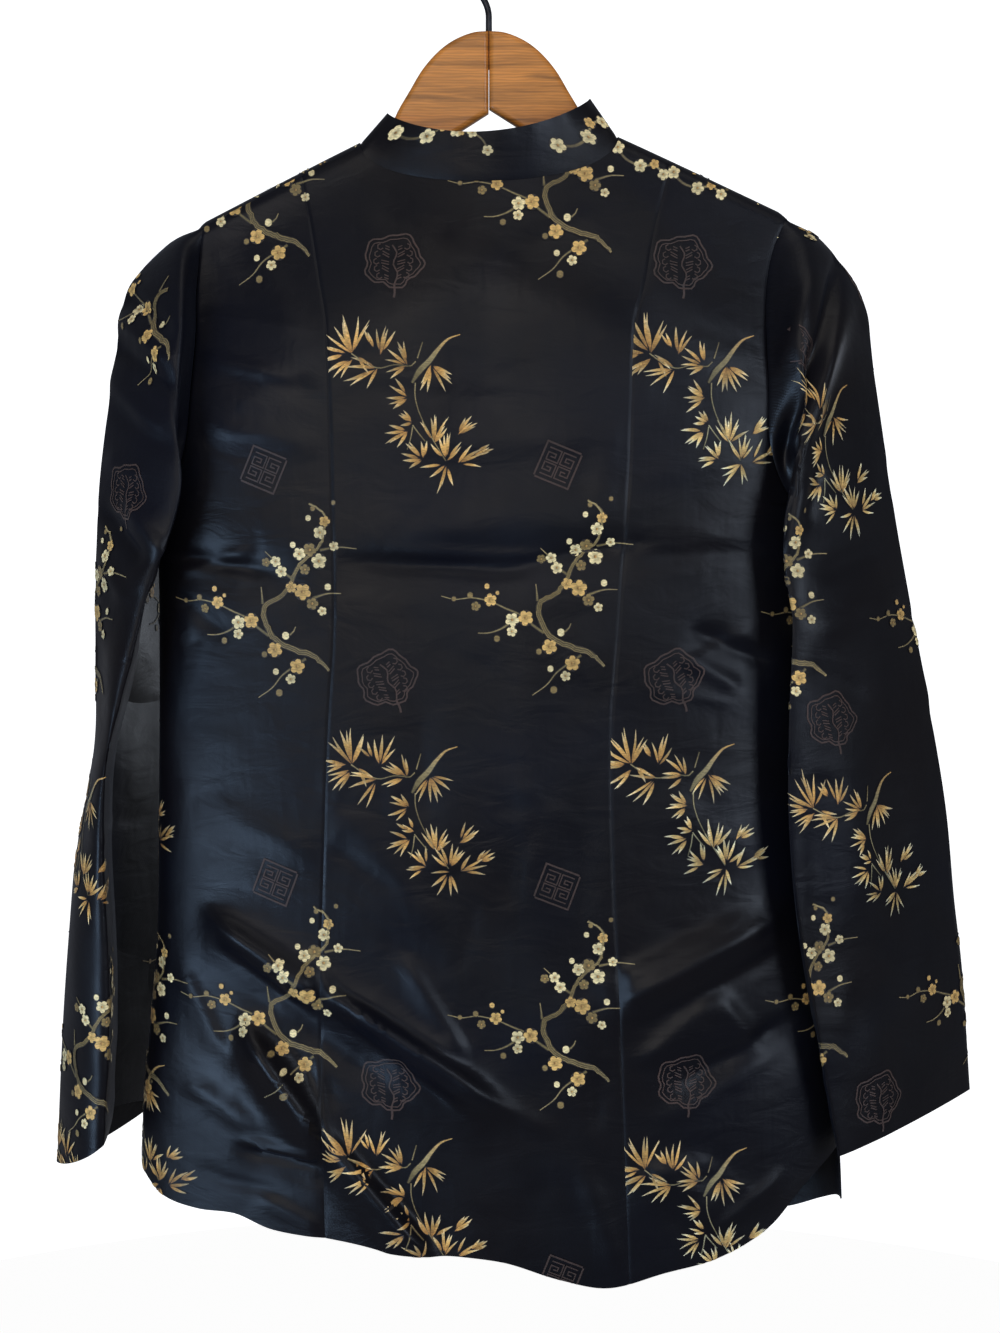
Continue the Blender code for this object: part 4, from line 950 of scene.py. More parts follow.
PLUM_BLOSSOMS = (
    Blossom(24.8, 5.9, 5.2, 1), Blossom(17.5, 8.7, 3.6, 1), Blossom(30.8, -1.4, 3.8, 2),
    Blossom(37, -6, 2.9, 0), Blossom(35.3, 25.2, 4.8, 0), Blossom(29.5, 32.2, 4.3, 2),
    Blossom(23, 29.7, 4.0, 0), Blossom(26.3, 19.9, 3.3, 2), Blossom(11.2, 18.5, 3.8, 0),
    Blossom(7.7, 24.8, 3.5, 0), Blossom(1.4, 24.2, 2.9, 2), Blossom(36, 43, 4.1, 0),
    Blossom(39, 50, 3.4, 1), Blossom(44.8, 34.6, 3.1, 0), Blossom(-8.4, -12.6, 4.8, 1),
    Blossom(-16.8, -13.7, 4.4, 0), Blossom(-17, -21, 3.3, 0), Blossom(-30.4, -1.4, 4.0, 1),
    Blossom(-39.5, -5.3, 2.9, 2), Blossom(6.7, -30.5, 4.8, 1), Blossom(21, -41, 4.8, 1),
    Blossom(16.8, -49, 3.3, 0),
)
PLUM_BUDS = (Blossom(44.4, 61.6, 1.4, 2), Blossom(28.7, 52, 1.8, 0), Blossom(31.5, 58, 1.5, 2),
             Blossom(18.9, 35.3, 1.9, 0), Blossom(-32.6, 7, 1.7, 1), Blossom(-53.2, -0.7, 1.4, 2),
             Blossom(-26.3, -25.5, 1.9, 2), Blossom(13.7, -21.7, 2.4, 0), Blossom(0, -33.6, 1.8, 2),
             Blossom(7.3, -44.4, 2.0, 0), Blossom(9.4, -57.7, 2.2, 2), Blossom(40.6, 9.1, 2.1, 0),
             Blossom(-26, 3, 1.2, 1), Blossom(-43, 1.5, 1.8, 2))
# the trunk's widths at shares of its length
PLUM_TRUNK_WIDTHS = (0, 0.12, 0.3, 0.45, 0.7, 1), (1.4, 4.0, 3.6, 3.2, 1.9, 0.8)
# a square of generic fretwork: a frame with a square spiral in each quarter
FRET_SIZE = 23.0
FRET_UNITS = 12.0
FRET_FRAME = ((0.6, 0), (12, 0), (12, 11.4)), ((11.4, 12), (0, 12), (0, 0.6))
FRET_SPIRAL = ((0.3, 0.3), (4.3, 0.3), (4.3, 4.3), (0.3, 4.3), (0.3, 1.8), (2.9, 1.8), (2.9, 3.0),
               (1.6, 3.0))


def widened(path, widths):
    """The two sides of a ribbon along a path."""
    path = np.array(path, dtype=float)
    heading = unit(np.gradient(path, axis=0))
    across = np.stack([-heading[:, 1], heading[:, 0]], axis=-1)
    widths = np.broadcast_to(widths, (len(path),))[:, None] / 2
    return path + across * widths, path - across * widths


def smooth_path(points, step=2.6):
    """A smooth path through points, with points a step apart."""
    points = np.array(points, dtype=float)
    distance = running(np.hypot(*np.diff(points, axis=0).T))
    count = max(int(distance[-1] / step), 2)
    at = np.linspace(0.0, distance[-1], count + 1)
    slope = np.gradient(points, distance, axis=0)
    k = np.clip(np.searchsorted(distance, at, side="left") - 1, 0, len(points) - 2)
    span = (distance[k + 1] - distance[k])[:, None]
    t = ((at - distance[k])[:, None]) / span
    return hermite(t, points[k], slope[k] * span, points[k + 1], slope[k + 1] * span)


def colour_run(colours, count):
    """Colours spread evenly over a number of points."""
    colours = np.array(colours, dtype=float)
    known = np.arange(len(colours))
    at = np.linspace(0.0, len(colours) - 1.0, count)
    return np.stack([np.interp(at, known, colours[:, k]) for k in range(3)], axis=-1)


def ribbon(path, widths, colours, layer, step=2.6):
    path = smooth_path(path, step)
    widths = np.interp(np.linspace(0, 1, len(path)), np.linspace(0, 1, len(np.atleast_1d(widths))),
                       np.atleast_1d(widths))
    left, right = widened(path, widths)
    return Strip(left, right, colour_run(colours, len(path)), layer)


def stem(path, outer, inner, colours):
    """A ribbon over its own wider dark outline."""
    return [ribbon(path, outer, DARK, 0), ribbon(path, inner, colours, 1)]


def leaf(x, y, angle, length, width, bend, shade):
    """A pointed leaf over its own dark outline."""
    share = np.linspace(0.0, 1.0, 7)
    heading = np.array([cos(angle), sin(angle)])
    side = np.array([-heading[1], heading[0]])
    curve = bend * length * (share * (1 - share))[:, None]
    centre = np.array([x, y]) + share[:, None] * length * heading + curve * side
    profile = np.sin(pi * share ** 0.72) ** 0.9 + 0.06
    strips = []
    grown = centre + (share[:, None] - 0.5) * heading
    left, right = widened(grown, profile * width + 0.55)
    strips.append(Strip(left, right, colour_run(DARK, 7), 0))
    left, right = widened(centre, profile * width)
    # each leaf's brightness is scaled at random: partly the thread's own uneven tone, partly a
    # painted glint
    colours = colour_run((LEAF_BASE, LEAF_MIDDLE, LEAF_TIP), 7) * shade
    strips.append(Strip(left, right, colours, 1))
    return strips


def bamboo_spray(pick):
    strips = []
    for path in BAMBOO_TWIGS:
        strips += stem(path, (1.3, 1.0), (0.65, 0.45), (BRANCH_LIGHT, STALK))
    strips += stem(BAMBOO_STALK, (2.0, 4.4, 4.2, 3.2, 2.2, 0.9), (1.0, 3.4, 3.2, 2.2, 1.2, 0.4),
                   (STALK, BRANCH_LIGHT, LEAF_MIDDLE))
    for fan in BAMBOO_FANS:
        count = fan.count + (fan.count > 2) + (fan.count > 4)
        middle = (count - 1) / 2
        for k in range(count):
            share = k / max(count - 1, 1)
            angle = radians(mix(fan.start, fan.end, share) + pick.uniform(-11.0, 11.0))
            centred = 1.0 - abs(k - middle) / max(middle, 1.0)
            length = mix(fan.shortest, fan.longest, pick.uniform(0.2, 0.8) * 0.6 + centred * 0.4)
            reach = pick.uniform(0.4, 4.2)
            # the last random number is each leaf's brightness, partly its own tone and partly a
            # painted glint
            strips += leaf(fan.x + reach * cos(angle), fan.y + reach * sin(angle), angle, length,
                           pick.uniform(1.3, 2.0), pick.uniform(-0.2, 0.2), pick.uniform(0.62, 1.12))
    return strips


def round_strip(x, y, radius, colours, layer, start=0.0, flat=1.0):
    """A disc as a strip of pairs."""
    share = np.linspace(0.06, 0.94, 6)
    wide = np.sqrt(np.maximum(1.0 - (2 * share - 1.0) ** 2, 0.0)) * radius * 2 * flat
    heading = np.array([cos(start), sin(start)])
    centre = np.array([x, y]) + (2 * share[:, None] - 1.0) * radius * heading
    left, right = widened(centre, wide)
    return Strip(left, right, colour_run(colours, len(share)), layer)


def blossom(flower, pick):
    """Five notched petals, dark between them, round a small heart."""
    strips = [round_strip(flower.x, flower.y, flower.radius * 1.08, DARK, 1)]
    first = pick.uniform(0.0, 2 * pi)
    petal = (PETAL, PETAL_GOLD, PETAL_DULL)[flower.kind]
    inner = tuple(c * 0.55 for c in petal)
    for k in range(5):
        angle = first + 2 * pi * k / 5
        x = flower.x + cos(angle) * flower.radius * 0.58
        y = flower.y + sin(angle) * flower.radius * 0.58
        strips.append(round_strip(x, y, flower.radius * 0.46, (inner, petal, petal), 2, angle, 0.86))
    strips.append(round_strip(flower.x, flower.y, flower.radius * 0.20, (PETAL_HEART, PETAL_GOLD), 3))
    return strips


def plum_spray(pick):
    strips = []
    trunk = smooth_path(PLUM_TRUNK, 2.0)
    rough = np.array([[pick.gauss(0.0, 0.30), pick.gauss(0.0, 0.30)] for _ in trunk])
    sway = rough + 0.30 * np.sin(np.arange(len(trunk)) * 1.1)[:, None] * np.array([1.0, 0.6])
    widths = np.interp(np.linspace(0, 1, len(trunk)), *PLUM_TRUNK_WIDTHS)
    for grow, colours, layer in ((1.0, DARK, 0), (0.0, (BRANCH, STALK), 1)):
        left, right = widened(trunk, widths * 0.8 + grow)
        strips.append(Strip(left, right, colour_run(colours, len(trunk)), layer))
    bark = colour_run((BRANCH_LIGHT, PETAL_DULL, BRANCH_LIGHT), len(trunk))
    for offset, wide in ((0.42, 0.42), (-0.40, 0.36), (0.05, 0.28)):
        left, _ = widened(trunk, widths * 2 * offset * 0.8)
        left, right = widened(left + sway, wide)
        strips.append(Strip(left, right, bark, 2))
    for path in PLUM_BRANCHES:
        strips += stem(path, (2.4, 1.5, 0.9), (1.3, 0.7, 0.4), (STALK, BRANCH_LIGHT))
    for flower in PLUM_BLOSSOMS:
        strips += blossom(flower, pick)
    for bud in PLUM_BUDS:
        colour = (PETAL, PETAL_GOLD, PETAL_DULL)[bud.kind]
        strips.append(round_strip(bud.x, bud.y, bud.radius + 0.5, DARK, 1))
        strips.append(round_strip(bud.x, bud.y, bud.radius, (colour, colour), 2))
    return strips


def medallion(pick):
    """A lobed leaf in the ground's own tone, with a stem, a vein and rows of curls."""
    share = np.linspace(0.0, 2 * pi, 49)
    reach = 17.5 + 1.5 * np.cos(5 * share + 0.5) + 2.4 * np.sin(share) + 0.7 * np.cos(11 * share)
    outline = np.stack([reach * np.cos(share) * 1.02, reach * np.sin(share) * 0.94], axis=-1)
    strips = [ribbon(outline, 1.1, SHADOW, 0), ribbon(outline * 0.86, 0.7, SHADOW, 0)]
    strips.append(ribbon(((1, -13), (1.5, -18), (1, -21)), 1.4, SHADOW, 0))
    strips.append(ribbon(((1, -13), (3, -6), (0, 0), (2, 7), (-1, 12)), 1.0, SHADOW, 0))
    for side in (-1, 1):
        for row in range(5):
            y = -9.0 + 4.6 * row
            far = 12.5 - 0.55 * abs(row - 2) ** 2
            turn = np.linspace(0.0, 4.2, 9)
            curl = np.stack([side * (far - 2.0) + side * 1.9 * np.sin(turn),
                             y + 1.6 + 1.9 * np.cos(turn)], axis=-1)
            line = np.array([[side * 2.6, y - 0.6], [side * (far - 5.0), y + 0.6 + 1.2 * (row % 2)]])
            strips.append(ribbon(curl, 0.8, SHADOW, 0, 1.6))
            strips.append(ribbon(line, 0.8, SHADOW, 0))
            strips.append(ribbon(line + np.array([0.0, 1.7]), 0.7, SHADOW, 0))
    return strips


def fret_square(pick):
    """A frame and its four spirals, each a mirror image of the first."""
    runs = [(run, 1.15) for run in FRET_FRAME]
    first = [(1.1 + x + 0.2, 1.1 + y + 0.2) for x, y in FRET_SPIRAL]
    for x_turn in (0, 1):
        for y_turn in (0, 1):
            runs.append(([(FRET_UNITS - x if x_turn else x, FRET_UNITS - y if y_turn else y)
                          for x, y in first], 0.85))
    strips = []
    for run, wide in runs:
        for (x1, y1), (x2, y2) in zip(run, run[1:]):
            a = (np.array([x1, y1]) / FRET_UNITS - 0.5) * FRET_SIZE
            b = (np.array([x2, y2]) / FRET_UNITS - 0.5) * FRET_SIZE
            reach = unit(b - a) * wide / 2
            count = max(int(np.linalg.norm(b - a) / 3.0), 1) + 1
            path = np.array(a - reach) + np.linspace(0.0, 1.0, count)[:, None] * (b - a + 2 * reach)
            left, right = widened(path, wide)
            strips.append(Strip(left, right, colour_run((FRET_THREAD, FRET_THREAD), count), 1))
    return strips


Figure = namedtuple("Figure", "kind x z turn size", defaults=(0, 1.0))
BACK_FIGURES = table_of(Figure,
    ("bamboo", -97.3, -255.8), ("bamboo", 86.8, -255.8), ("bamboo", -99.8, -511.9),
    ("bamboo", 76.1, -511.9), ("bamboo", -103.6, -763.5), ("bamboo", 86.2, -773.5),
    ("bamboo", -275.0, -725.0), ("bamboo", -288.0, -501.0), ("fret", -140.3, -347.4, -22),
    ("fret", 42.9, -344.3, -22), ("fret", -135.7, -608.1, -22), ("fret", 43.1, -609.4, -22),
    ("fret", 45.9, -864.2, -22), ("medallion", -59.0, -220.8), ("medallion", 120.1, -220.8),
    ("medallion", -63.2, -479.6, 20), ("medallion", 116.6, -479.6, 20),
    ("medallion", -63.6, -738.9), ("medallion", 125.7, -738.9))
PLUM_FIGURES = table_of(Figure,
    ("plum", 41.0, -172.0), ("plum", -146.0, -174.0), ("plum", -135.4, -431.4),
    ("plum", 37.0, -428.9), ("plum", -133.7, -686.1), ("plum", 40.3, -694.7),
    ("plum", 222.0, -440.0), ("plum", 226.0, -690.0), ("twig", 92.0, -158.0, -30, 0.9),
    ("twig", 128.0, -172.0, -24, 0.9), ("plum", -228.0, -712.0))
SLEEVE_BACK_FIGURES = {
    1: table_of(Figure,
        ("bamboo", 168.0, -292.0), ("bamboo", 187.0, -540.2), ("medallion", 185.2, -270.9),
        ("medallion", 215.5, -504.9), ("medallion", 253.1, -755.5), ("twig", 200.0, -203.0, 0, 0.7),
        ("plum", 296.0, -440.0), ("plum", 168.0, -437.0), ("plum", 322.0, -688.0),
        ("plum", 194.0, -684.0)),
    -1: table_of(Figure,
        ("plum", -200.0, -238.0), ("plum", -266.0, -446.0), ("plum", -262.0, -716.0),
        ("medallion", -226.0, -362.8), ("bamboo", -296.0, -770.0), ("bamboo", -238.0, -530.0)),
}
SLEEVE_FRONT_FIGURES = {
    1: table_of(Figure,
        ("bamboo", 240.0, -262.0), ("bamboo", 268.0, -512.0), ("medallion", 225.0, -236.0),
        ("medallion", 262.0, -490.0), ("plum", 228.0, -430.0), ("plum", 268.0, -684.0),
        ("fret", 205.0, -344.0, -22), ("fret", 240.0, -604.0, -22)),
    -1: table_of(Figure,
        ("bamboo", -230.0, -512.0), ("plum", -222.0, -430.0), ("plum", -250.0, -684.0),
        ("fret", -205.0, -344.0, 22), ("fret", -240.0, -604.0, 22)),
}
COLLAR_FIGURES = table_of(Figure,
    ("twig", -41.6, -142.9), ("twig", 60.5, -143.5, 25), ("twig", -8.0, -141.0, 140, 0.7))
TWIG = ((-18, 4), (-8, 0), (2, 1), (12, 6), (20, 5))
TWIG_BLOSSOMS = (Blossom(-17, 4, 4.6, 0), Blossom(3, 1, 4.6, 0), Blossom(11, 7, 3.4, 1),
                 Blossom(20, 4, 4.0, 0))
PLUM_MIDDLE = (5.6, -2.1)
BAMBOO_HALF_WIDTH = 50.0    # a bamboo spray hangs from its top left corner
FIGURE_PAST = 75.0          # how far past a panel's edges the middle of a figure may lie
SPRAY_PAST_LEFT = 50.0
SPRAY_PAST_FRONT = 30.0
SEEN_FROM = 400.0
SEEN_SHIFTS = sorted(range(-80, 81, 4), key=abs)


def twig(pick):
    strips = stem(TWIG, 2.2, 1.3, (BRANCH, BRANCH_LIGHT))
    for flower in TWIG_BLOSSOMS:
        strips += blossom(flower, pick)
    return strips


FIGURES = {"bamboo": bamboo_spray, "plum": plum_spray, "medallion": medallion,
           "fret": fret_square, "twig": twig}
NARROW_STRIP, WIDE_STRIP = 2.6, 5.0     # a wider strip takes more points across it
ON_SHEET = 0.05
BRIGHTEST_THREAD = 0.95
# laid on the cloth, a face may span this many times what it spans flat, and this much more
STRETCH_SHARE, STRETCH_ROOM = 1.5, 0.6
# painted highlight: the right-hand bamboo sprays are painted paler, as if light falls on them
PALE_SIDE = 60.0            # sprays past this distance to the right turn pale
PALE_START, PALE_LENGTH = -10.0, 80.0
PAINTED_HIGHLIGHT_GAIN = (1.10, 1.42, 2.0)


def painted_thread_highlight(figure, strip):
    """Painted highlight: the gold thread is painted paler yellow down the bamboo sprays of the right
    side, as if lit there.
    """
    if figure.kind != "bamboo" or figure.x < PALE_SIDE or strip.layer == 0:
        return 1.0
    middle = (strip.left[:, 1] + strip.right[:, 1]) / 2
    share = np.clip((PALE_START - middle) / PALE_LENGTH, 0.0, 1.0)[:, None]
    return 1.0 + share * (np.array(PAINTED_HIGHLIGHT_GAIN) - 1.0)


class Brocade:
    """Collects the woven figures of one sheet as one mesh that lies on it."""

    def __init__(self, sheet, seed):
        self.cloth = ClothMap(sheet)
        self.pick = Random(seed)
        self.verts, self.faces, self.colours = [], [], []

    def weave(self, figure, u, v, mirrored=False):
        strips = FIGURES[figure.kind](self.pick)
        turn = radians(figure.turn)
        spin = np.array([[cos(turn), -sin(turn)], [sin(turn), cos(turn)]]) * figure.size
        start = np.array(PLUM_MIDDLE if figure.kind == "plum" else (0.0, 0.0))
        flip = np.array([-1.0 if mirrored else 1.0, 1.0])
        for strip in strips:
            wide = float(np.linalg.norm(strip.left - strip.right, axis=-1).max())
            columns = 2 if wide < NARROW_STRIP else 3 if wide < WIDE_STRIP else 5
            shares = np.linspace(0.0, 1.0, columns)[None, :, None]
            rows = strip.left[:, None] * (1.0 - shares) + strip.right[:, None] * shares
            points = ((rows.reshape(-1, 2) - start) @ spin.T) * flip + np.array([u, v])
            lift = LAYER_LIFT + LAYER_STEP * strip.layer
            placed = [self.cloth.place(float(a), float(b), lift) for a, b in points]
            inside = [distance < ON_SHEET for _, distance in placed]
            if not any(inside):
                continue
            first = len(self.verts)
            self.verts += [point for point, _ in placed]
            # the right-hand bamboo threads get their painted highlight here
            tones = np.array(strip.colours) * painted_thread_highlight(figure, strip)
            tones = np.minimum(tones, BRIGHTEST_THREAD)
            self.colours += [tone for tone in tones for _ in range(columns)]
            for row in range(len(strip.left) - 1):
                for column in range(columns - 1):
                    k = row * columns + column
                    corners = [k, k + 1, k + 1 + columns, k + columns]
                    if any(inside[c] for c in corners) and self.lies_flat(first, corners, points):
                        face = [first + c for c in corners]
                        self.faces.append(face if not mirrored else face[::-1])

    def lies_flat(self, first, corners, points):
        """Whether a face keeps its laid-out size, so that it spans no gap in the cloth."""
        laid = points[corners]
        worn = np.array([self.verts[first + c] for c in corners])
        flat_span = np.linalg.norm(laid - np.roll(laid, 1, axis=0), axis=1).max()
        worn_span = np.linalg.norm(worn - np.roll(worn, 1, axis=0), axis=1).max()
        return worn_span < STRETCH_SHARE * flat_span + STRETCH_ROOM

    def finish(self, name, material):
        """The mesh, with its unused points left out and the threads' colours as an attribute."""
        if not self.faces:
            return None
        used = sorted({k for face in self.faces for k in face})
        number = {k: n for n, k in enumerate(used)}
        verts = [self.verts[k] * MM for k in used]
        faces = [[number[k] for k in face] for face in self.faces]
        made = mesh_object(name, verts, faces, material)
        dye = made.data.color_attributes.new("dye", "FLOAT_COLOR", "POINT")
        values = np.ones((len(used), 4))
        values[:, :3] = np.clip(np.array([self.colours[k] for k in used]), 0.0, 1.0)
        if len(made.data.vertices) == len(used):
            dye.data.foreach_set("color", values.reshape(-1))
        return made


# ================================================================ materials
# the colour entries and the colour result of a mix node, by number
MIX_FACTOR, MIX_A, MIX_B, MIX_RESULT = 0, 6, 7, 2
FLOOR_GLOW = 0.98


class Surface:
    """A node material, with short ways to add and join its nodes."""

    def __init__(self, name, base=(0.5, 0.5, 0.5), roughness=0.5, metallic=0.0):
        self.material = bpy.data.materials.new(name)
        self.material.use_nodes = True
        self.nodes = self.material.node_tree.nodes
        self.links = self.material.node_tree.links
        self.shader = self.nodes["Principled BSDF"]
        self.set("Base Color", (*base, 1.0))
        self.set("Roughness", roughness)
        self.set("Metallic", metallic)
        self.material.diffuse_color = (*base, 1.0)

    def set(self, socket, value):
        self.shader.inputs[socket].default_value = value

    def node(self, kind, **values):
        made = self.nodes.new(kind)
        for key, value in values.items():
            setattr(made, key, value)
        return made

    def join(self, source, output, target, entry):
        self.links.new(source.outputs[output], target.inputs[entry])

    def place(self, kind, scale=(1.0, 1.0, 1.0), turn=(0.0, 0.0, 0.0)):
        """Texture coordinates of a kind, stretched and turned."""
        where = self.node("ShaderNodeTexCoord")
        stretch = self.node("ShaderNodeMapping")
        stretch.inputs["Scale"].default_value = scale
        stretch.inputs["Rotation"].default_value = turn
        self.join(where, kind, stretch, "Vector")
        return stretch

    def noise(self, place, scale, detail=4.0, distortion=0.0):
        made = self.node("ShaderNodeTexNoise")
        made.inputs["Scale"].default_value = scale
        made.inputs["Detail"].default_value = detail
        made.inputs["Distortion"].default_value = distortion
        self.join(place, "Vector", made, "Vector")
        return made

    def wave(self, place, scale, direction="X", distortion=0.0, detail_scale=1.0):
        made = self.node("ShaderNodeTexWave")
        made.bands_direction = direction
        made.inputs["Scale"].default_value = scale
        made.inputs["Distortion"].default_value = distortion
        made.inputs["Detail Scale"].default_value = detail_scale
        self.join(place, "Vector", made, "Vector")
        return made

    def ramp(self, source, stops):
        made = self.node("ShaderNodeValToRGB")
        ramp = made.color_ramp
        while len(ramp.elements) < len(stops):
            ramp.elements.new(0.5)
        for element, (position, colour) in zip(ramp.elements, stops):
            element.position = position
            element.color = (*colour, 1.0)
        self.join(source, "Fac", made, "Fac")
        return made

    def grey(self, source, low, high, start=0.35, end=0.65):
        return self.ramp(source, ((start, (low,) * 3), (end, (high,) * 3)))

    def multiply(self, factor, a, b):
        """Multiply two colours, each given as a node and its output."""
        made = self.node("ShaderNodeMix", data_type="RGBA", blend_type="MULTIPLY")
        made.inputs[MIX_FACTOR].default_value = factor
        for entry, (source, output) in ((MIX_A, a), (MIX_B, b)):
            self.join(source, output, made, entry)
        return made

    def bump(self, source, distance, strength=1.0, below=None):
        made = self.node("ShaderNodeBump")
        made.inputs["Distance"].default_value = distance
        made.inputs["Strength"].default_value = strength
        self.join(source, "Fac", made, "Height")
        if below is not None:
            self.join(below, "Normal", made, "Normal")
        return made

    def colour_from(self, node, output="Color"):
        self.links.new(node.outputs[output], self.shader.inputs["Base Color"])

    def roughness_from(self, node):
        self.links.new(node.outputs["Color"], self.shader.inputs["Roughness"])

    def normal_from(self, node):
        self.links.new(node.outputs["Normal"], self.shader.inputs["Normal"])


def silk_ground(settings):
    """Near-black silk, navy in one light and warm in another, with a fine weave."""
    silk = Surface("silk_ground", settings.silk_colour, 0.42)
    around = silk.place("Object")
    cloud = silk.noise(around, 7.0, 5.0, 0.6)
    cool = tuple(c * s for c, s in zip(settings.silk_colour, (0.85, 1.0, 1.35)))
    warm = tuple(c * s for c, s in zip(settings.silk_colour, (1.25, 0.95, 0.80)))
    tone = silk.ramp(cloud, ((0.32, cool), (0.5, tuple(settings.silk_colour)), (0.70, warm)))
    fleck = silk.noise(silk.place("UV", (900.0, 2600.0, 1.0)), 1.0, 2.0)
    thread = silk.grey(fleck, 0.72, 1.35)
    ground = silk.multiply(1.0, (tone, "Color"), (thread, "Color"))
    silk.colour_from(ground, MIX_RESULT)
    worn = silk.noise(around, 16.0, 6.0)
    rough = settings.silk_roughness
    silk.roughness_from(silk.grey(worn, rough - 0.06, rough + 0.08))
    warp = silk.wave(silk.place("UV", turn=(0.0, 0.0, radians(62.0))), 420.0, "X")
    weave = silk.bump(warp, 0.00006, 0.45)
    slub = silk.bump(fleck, 0.00006, 0.5, below=weave)
    slanted = silk.place("Object", (26.0, 26.0, 62.0), (0.0, radians(14.0), 0.0))
    crumple = silk.noise(slanted, 1.0, 3.0, 0.8)
    soft = silk.bump(crumple, 0.0016, 0.40, below=slub)
    steep = silk.place("Object", (70.0, 30.0, 16.0), (0.0, radians(-24.0), 0.0))
    pull = silk.noise(steep, 1.0, 2.0, 0.4)
    drape = silk.bump(pull, 0.0010, 0.35, below=soft)
    silk.normal_from(drape)
    silk.set("Sheen Weight", 0.05)
    silk.set("Sheen Roughness", 0.38)
    silk.set("Sheen Tint", (0.42, 0.52, 0.80, 1.0))
    silk.set("Anisotropic", 0.35)
    silk.set("Specular IOR Level", 0.17)
    return silk.material


def brocade_thread(settings):
    """Floats of dyed silk, laid side by side across each figure."""
    thread = Surface("brocade_thread", (0.5, 0.36, 0.18), 0.5)
    dye = thread.node("ShaderNodeAttribute", attribute_name="dye")
    uneven = thread.noise(thread.place("Object", (420.0, 420.0, 1300.0)), 1.0, 3.0)
    shade = thread.grey(uneven, 0.66, 1.18)
    tint = thread.multiply(1.0, (dye, "Color"), (shade, "Color"))
    patch = thread.noise(thread.place("Object"), 24.0, 2.0)
    aged = thread.grey(patch, 0.74, 1.10)
    whole = thread.multiply(1.0, (tint, MIX_RESULT), (aged, "Color"))
    thread.colour_from(whole, MIX_RESULT)
    floats = thread.wave(thread.place("Object"), 500.0, "Z", 0.6, 2.0)
    thread.normal_from(thread.bump(floats, 0.00010, 0.7))
    thread.roughness_from(thread.grey(uneven, 0.42, 0.62))
    thread.set("Sheen Weight", 0.15)
    thread.set("Specular IOR Level", 0.40)
    return thread.material


def satin_cord(settings):
    """Bias-cut silk rolled into cords for the fastenings."""
    cord = Surface("satin_cord", settings.cord_colour, 0.36)
    around = cord.place("Object")
    cloud = cord.noise(around, 160.0, 4.0)
    low = tuple(c * 0.7 for c in settings.cord_colour)
    high = tuple(c * 1.5 for c in settings.cord_colour)
    cord.colour_from(cord.ramp(cloud, ((0.35, low), (0.65, high))))
    twist = cord.wave(cord.place("Object", turn=(0.0, radians(38.0), radians(20.0))), 330.0, "X", 0.8)
    cord.normal_from(cord.bump(twist, 0.00012, 0.6))
    cord.roughness_from(cord.grey(cloud, 0.30, 0.46))
    cord.set("Sheen Weight", 0.25)
    cord.set("Sheen Tint", (0.5, 0.6, 0.85, 1.0))
    return cord.material


def hanger_wood(settings):
    """Pale red-brown varnished wood, its grain running along each arm."""
    wood = Surface("hanger_wood", settings.wood_colour, 0.38)
    along = wood.place("Object", (16.0, 60.0, 210.0), (0.0, radians(8.0), 0.0))
    grain = wood.noise(along, 1.0, 6.0, 0.7)
    dark = tuple(c * 0.55 for c in settings.wood_colour)
    light = tuple(min(c * 1.32, 1.0) for c in settings.wood_colour)
    bands = wood.ramp(grain, ((0.30, dark), (0.48, tuple(settings.wood_colour)), (0.70, light)))
    rings = wood.wave(wood.place("Object", (6.0, 20.0, 34.0)), 5.0, "Z", 5.0, 1.6)
    band = wood.grey(rings, 0.80, 1.08, start=0.1, end=0.9)
    whole = wood.multiply(0.8, (bands, "Color"), (band, "Color"))
    wood.colour_from(whole, MIX_RESULT)
    pores = wood.noise(wood.place("Object", (240.0, 900.0, 2600.0)), 1.0, 2.0)
    wood.normal_from(wood.bump(pores, 0.00008, 0.5, below=wood.bump(grain, 0.00015, 0.4)))
    wood.roughness_from(wood.grey(pores, 0.30, 0.46))
    wood.set("Specular IOR Level", 0.30)
    wood.set("Coat Weight", 0.15)
    wood.set("Coat Roughness", 0.18)
    return wood.material


def black_wire(settings):
    """Blackened steel wire, rubbed brighter where it hangs."""
    wire = Surface("black_wire", settings.wire_colour, 0.34, 0.85)
    scuff = wire.noise(wire.place("Object", (60.0, 60.0, 60.0)), 1.0, 6.0)
    bright = tuple(min(c * 2.6, 1.0) for c in settings.wire_colour)
    wire.colour_from(wire.ramp(scuff, ((0.45, tuple(settings.wire_colour)), (0.78, bright))))
    fine = wire.noise(wire.place("Object", (900.0, 900.0, 300.0)), 1.0, 3.0)
    wire.normal_from(wire.bump(fine, 0.00004, 0.5))
    wire.roughness_from(wire.grey(scuff, 0.26, 0.44))
    return wire.material


def pale_paper(settings):
    """Matt paper for the floor, with a faint mottle, that gives light of its own."""
    floor = Surface("pale_floor", (0.90, 0.90, 0.90), 0.75)
    mottle = floor.noise(floor.place("Object"), 3.0, 3.0)
    floor.colour_from(floor.grey(mottle, 0.895, 0.915))
    floor.set("Specular IOR Level", 0.15)
    floor.set("Emission Color", (1.0, 1.0, 1.0, 1.0))
    floor.set("Emission Strength", FLOOR_GLOW)
    return floor.material


FINISHES = {
}


def finish_named(name):
    """Make a finish once, from the sizes and colours in the sidebar."""
    if name not in FINISHES:
        makers = {"silk": silk_ground, "thread": brocade_thread, "cord": satin_cord,
                  "wood": hanger_wood, "wire": black_wire, "paper": pale_paper}
        FINISHES[name] = makers[name](bpy.context.scene.jacket_finish)
    return FINISHES[name]


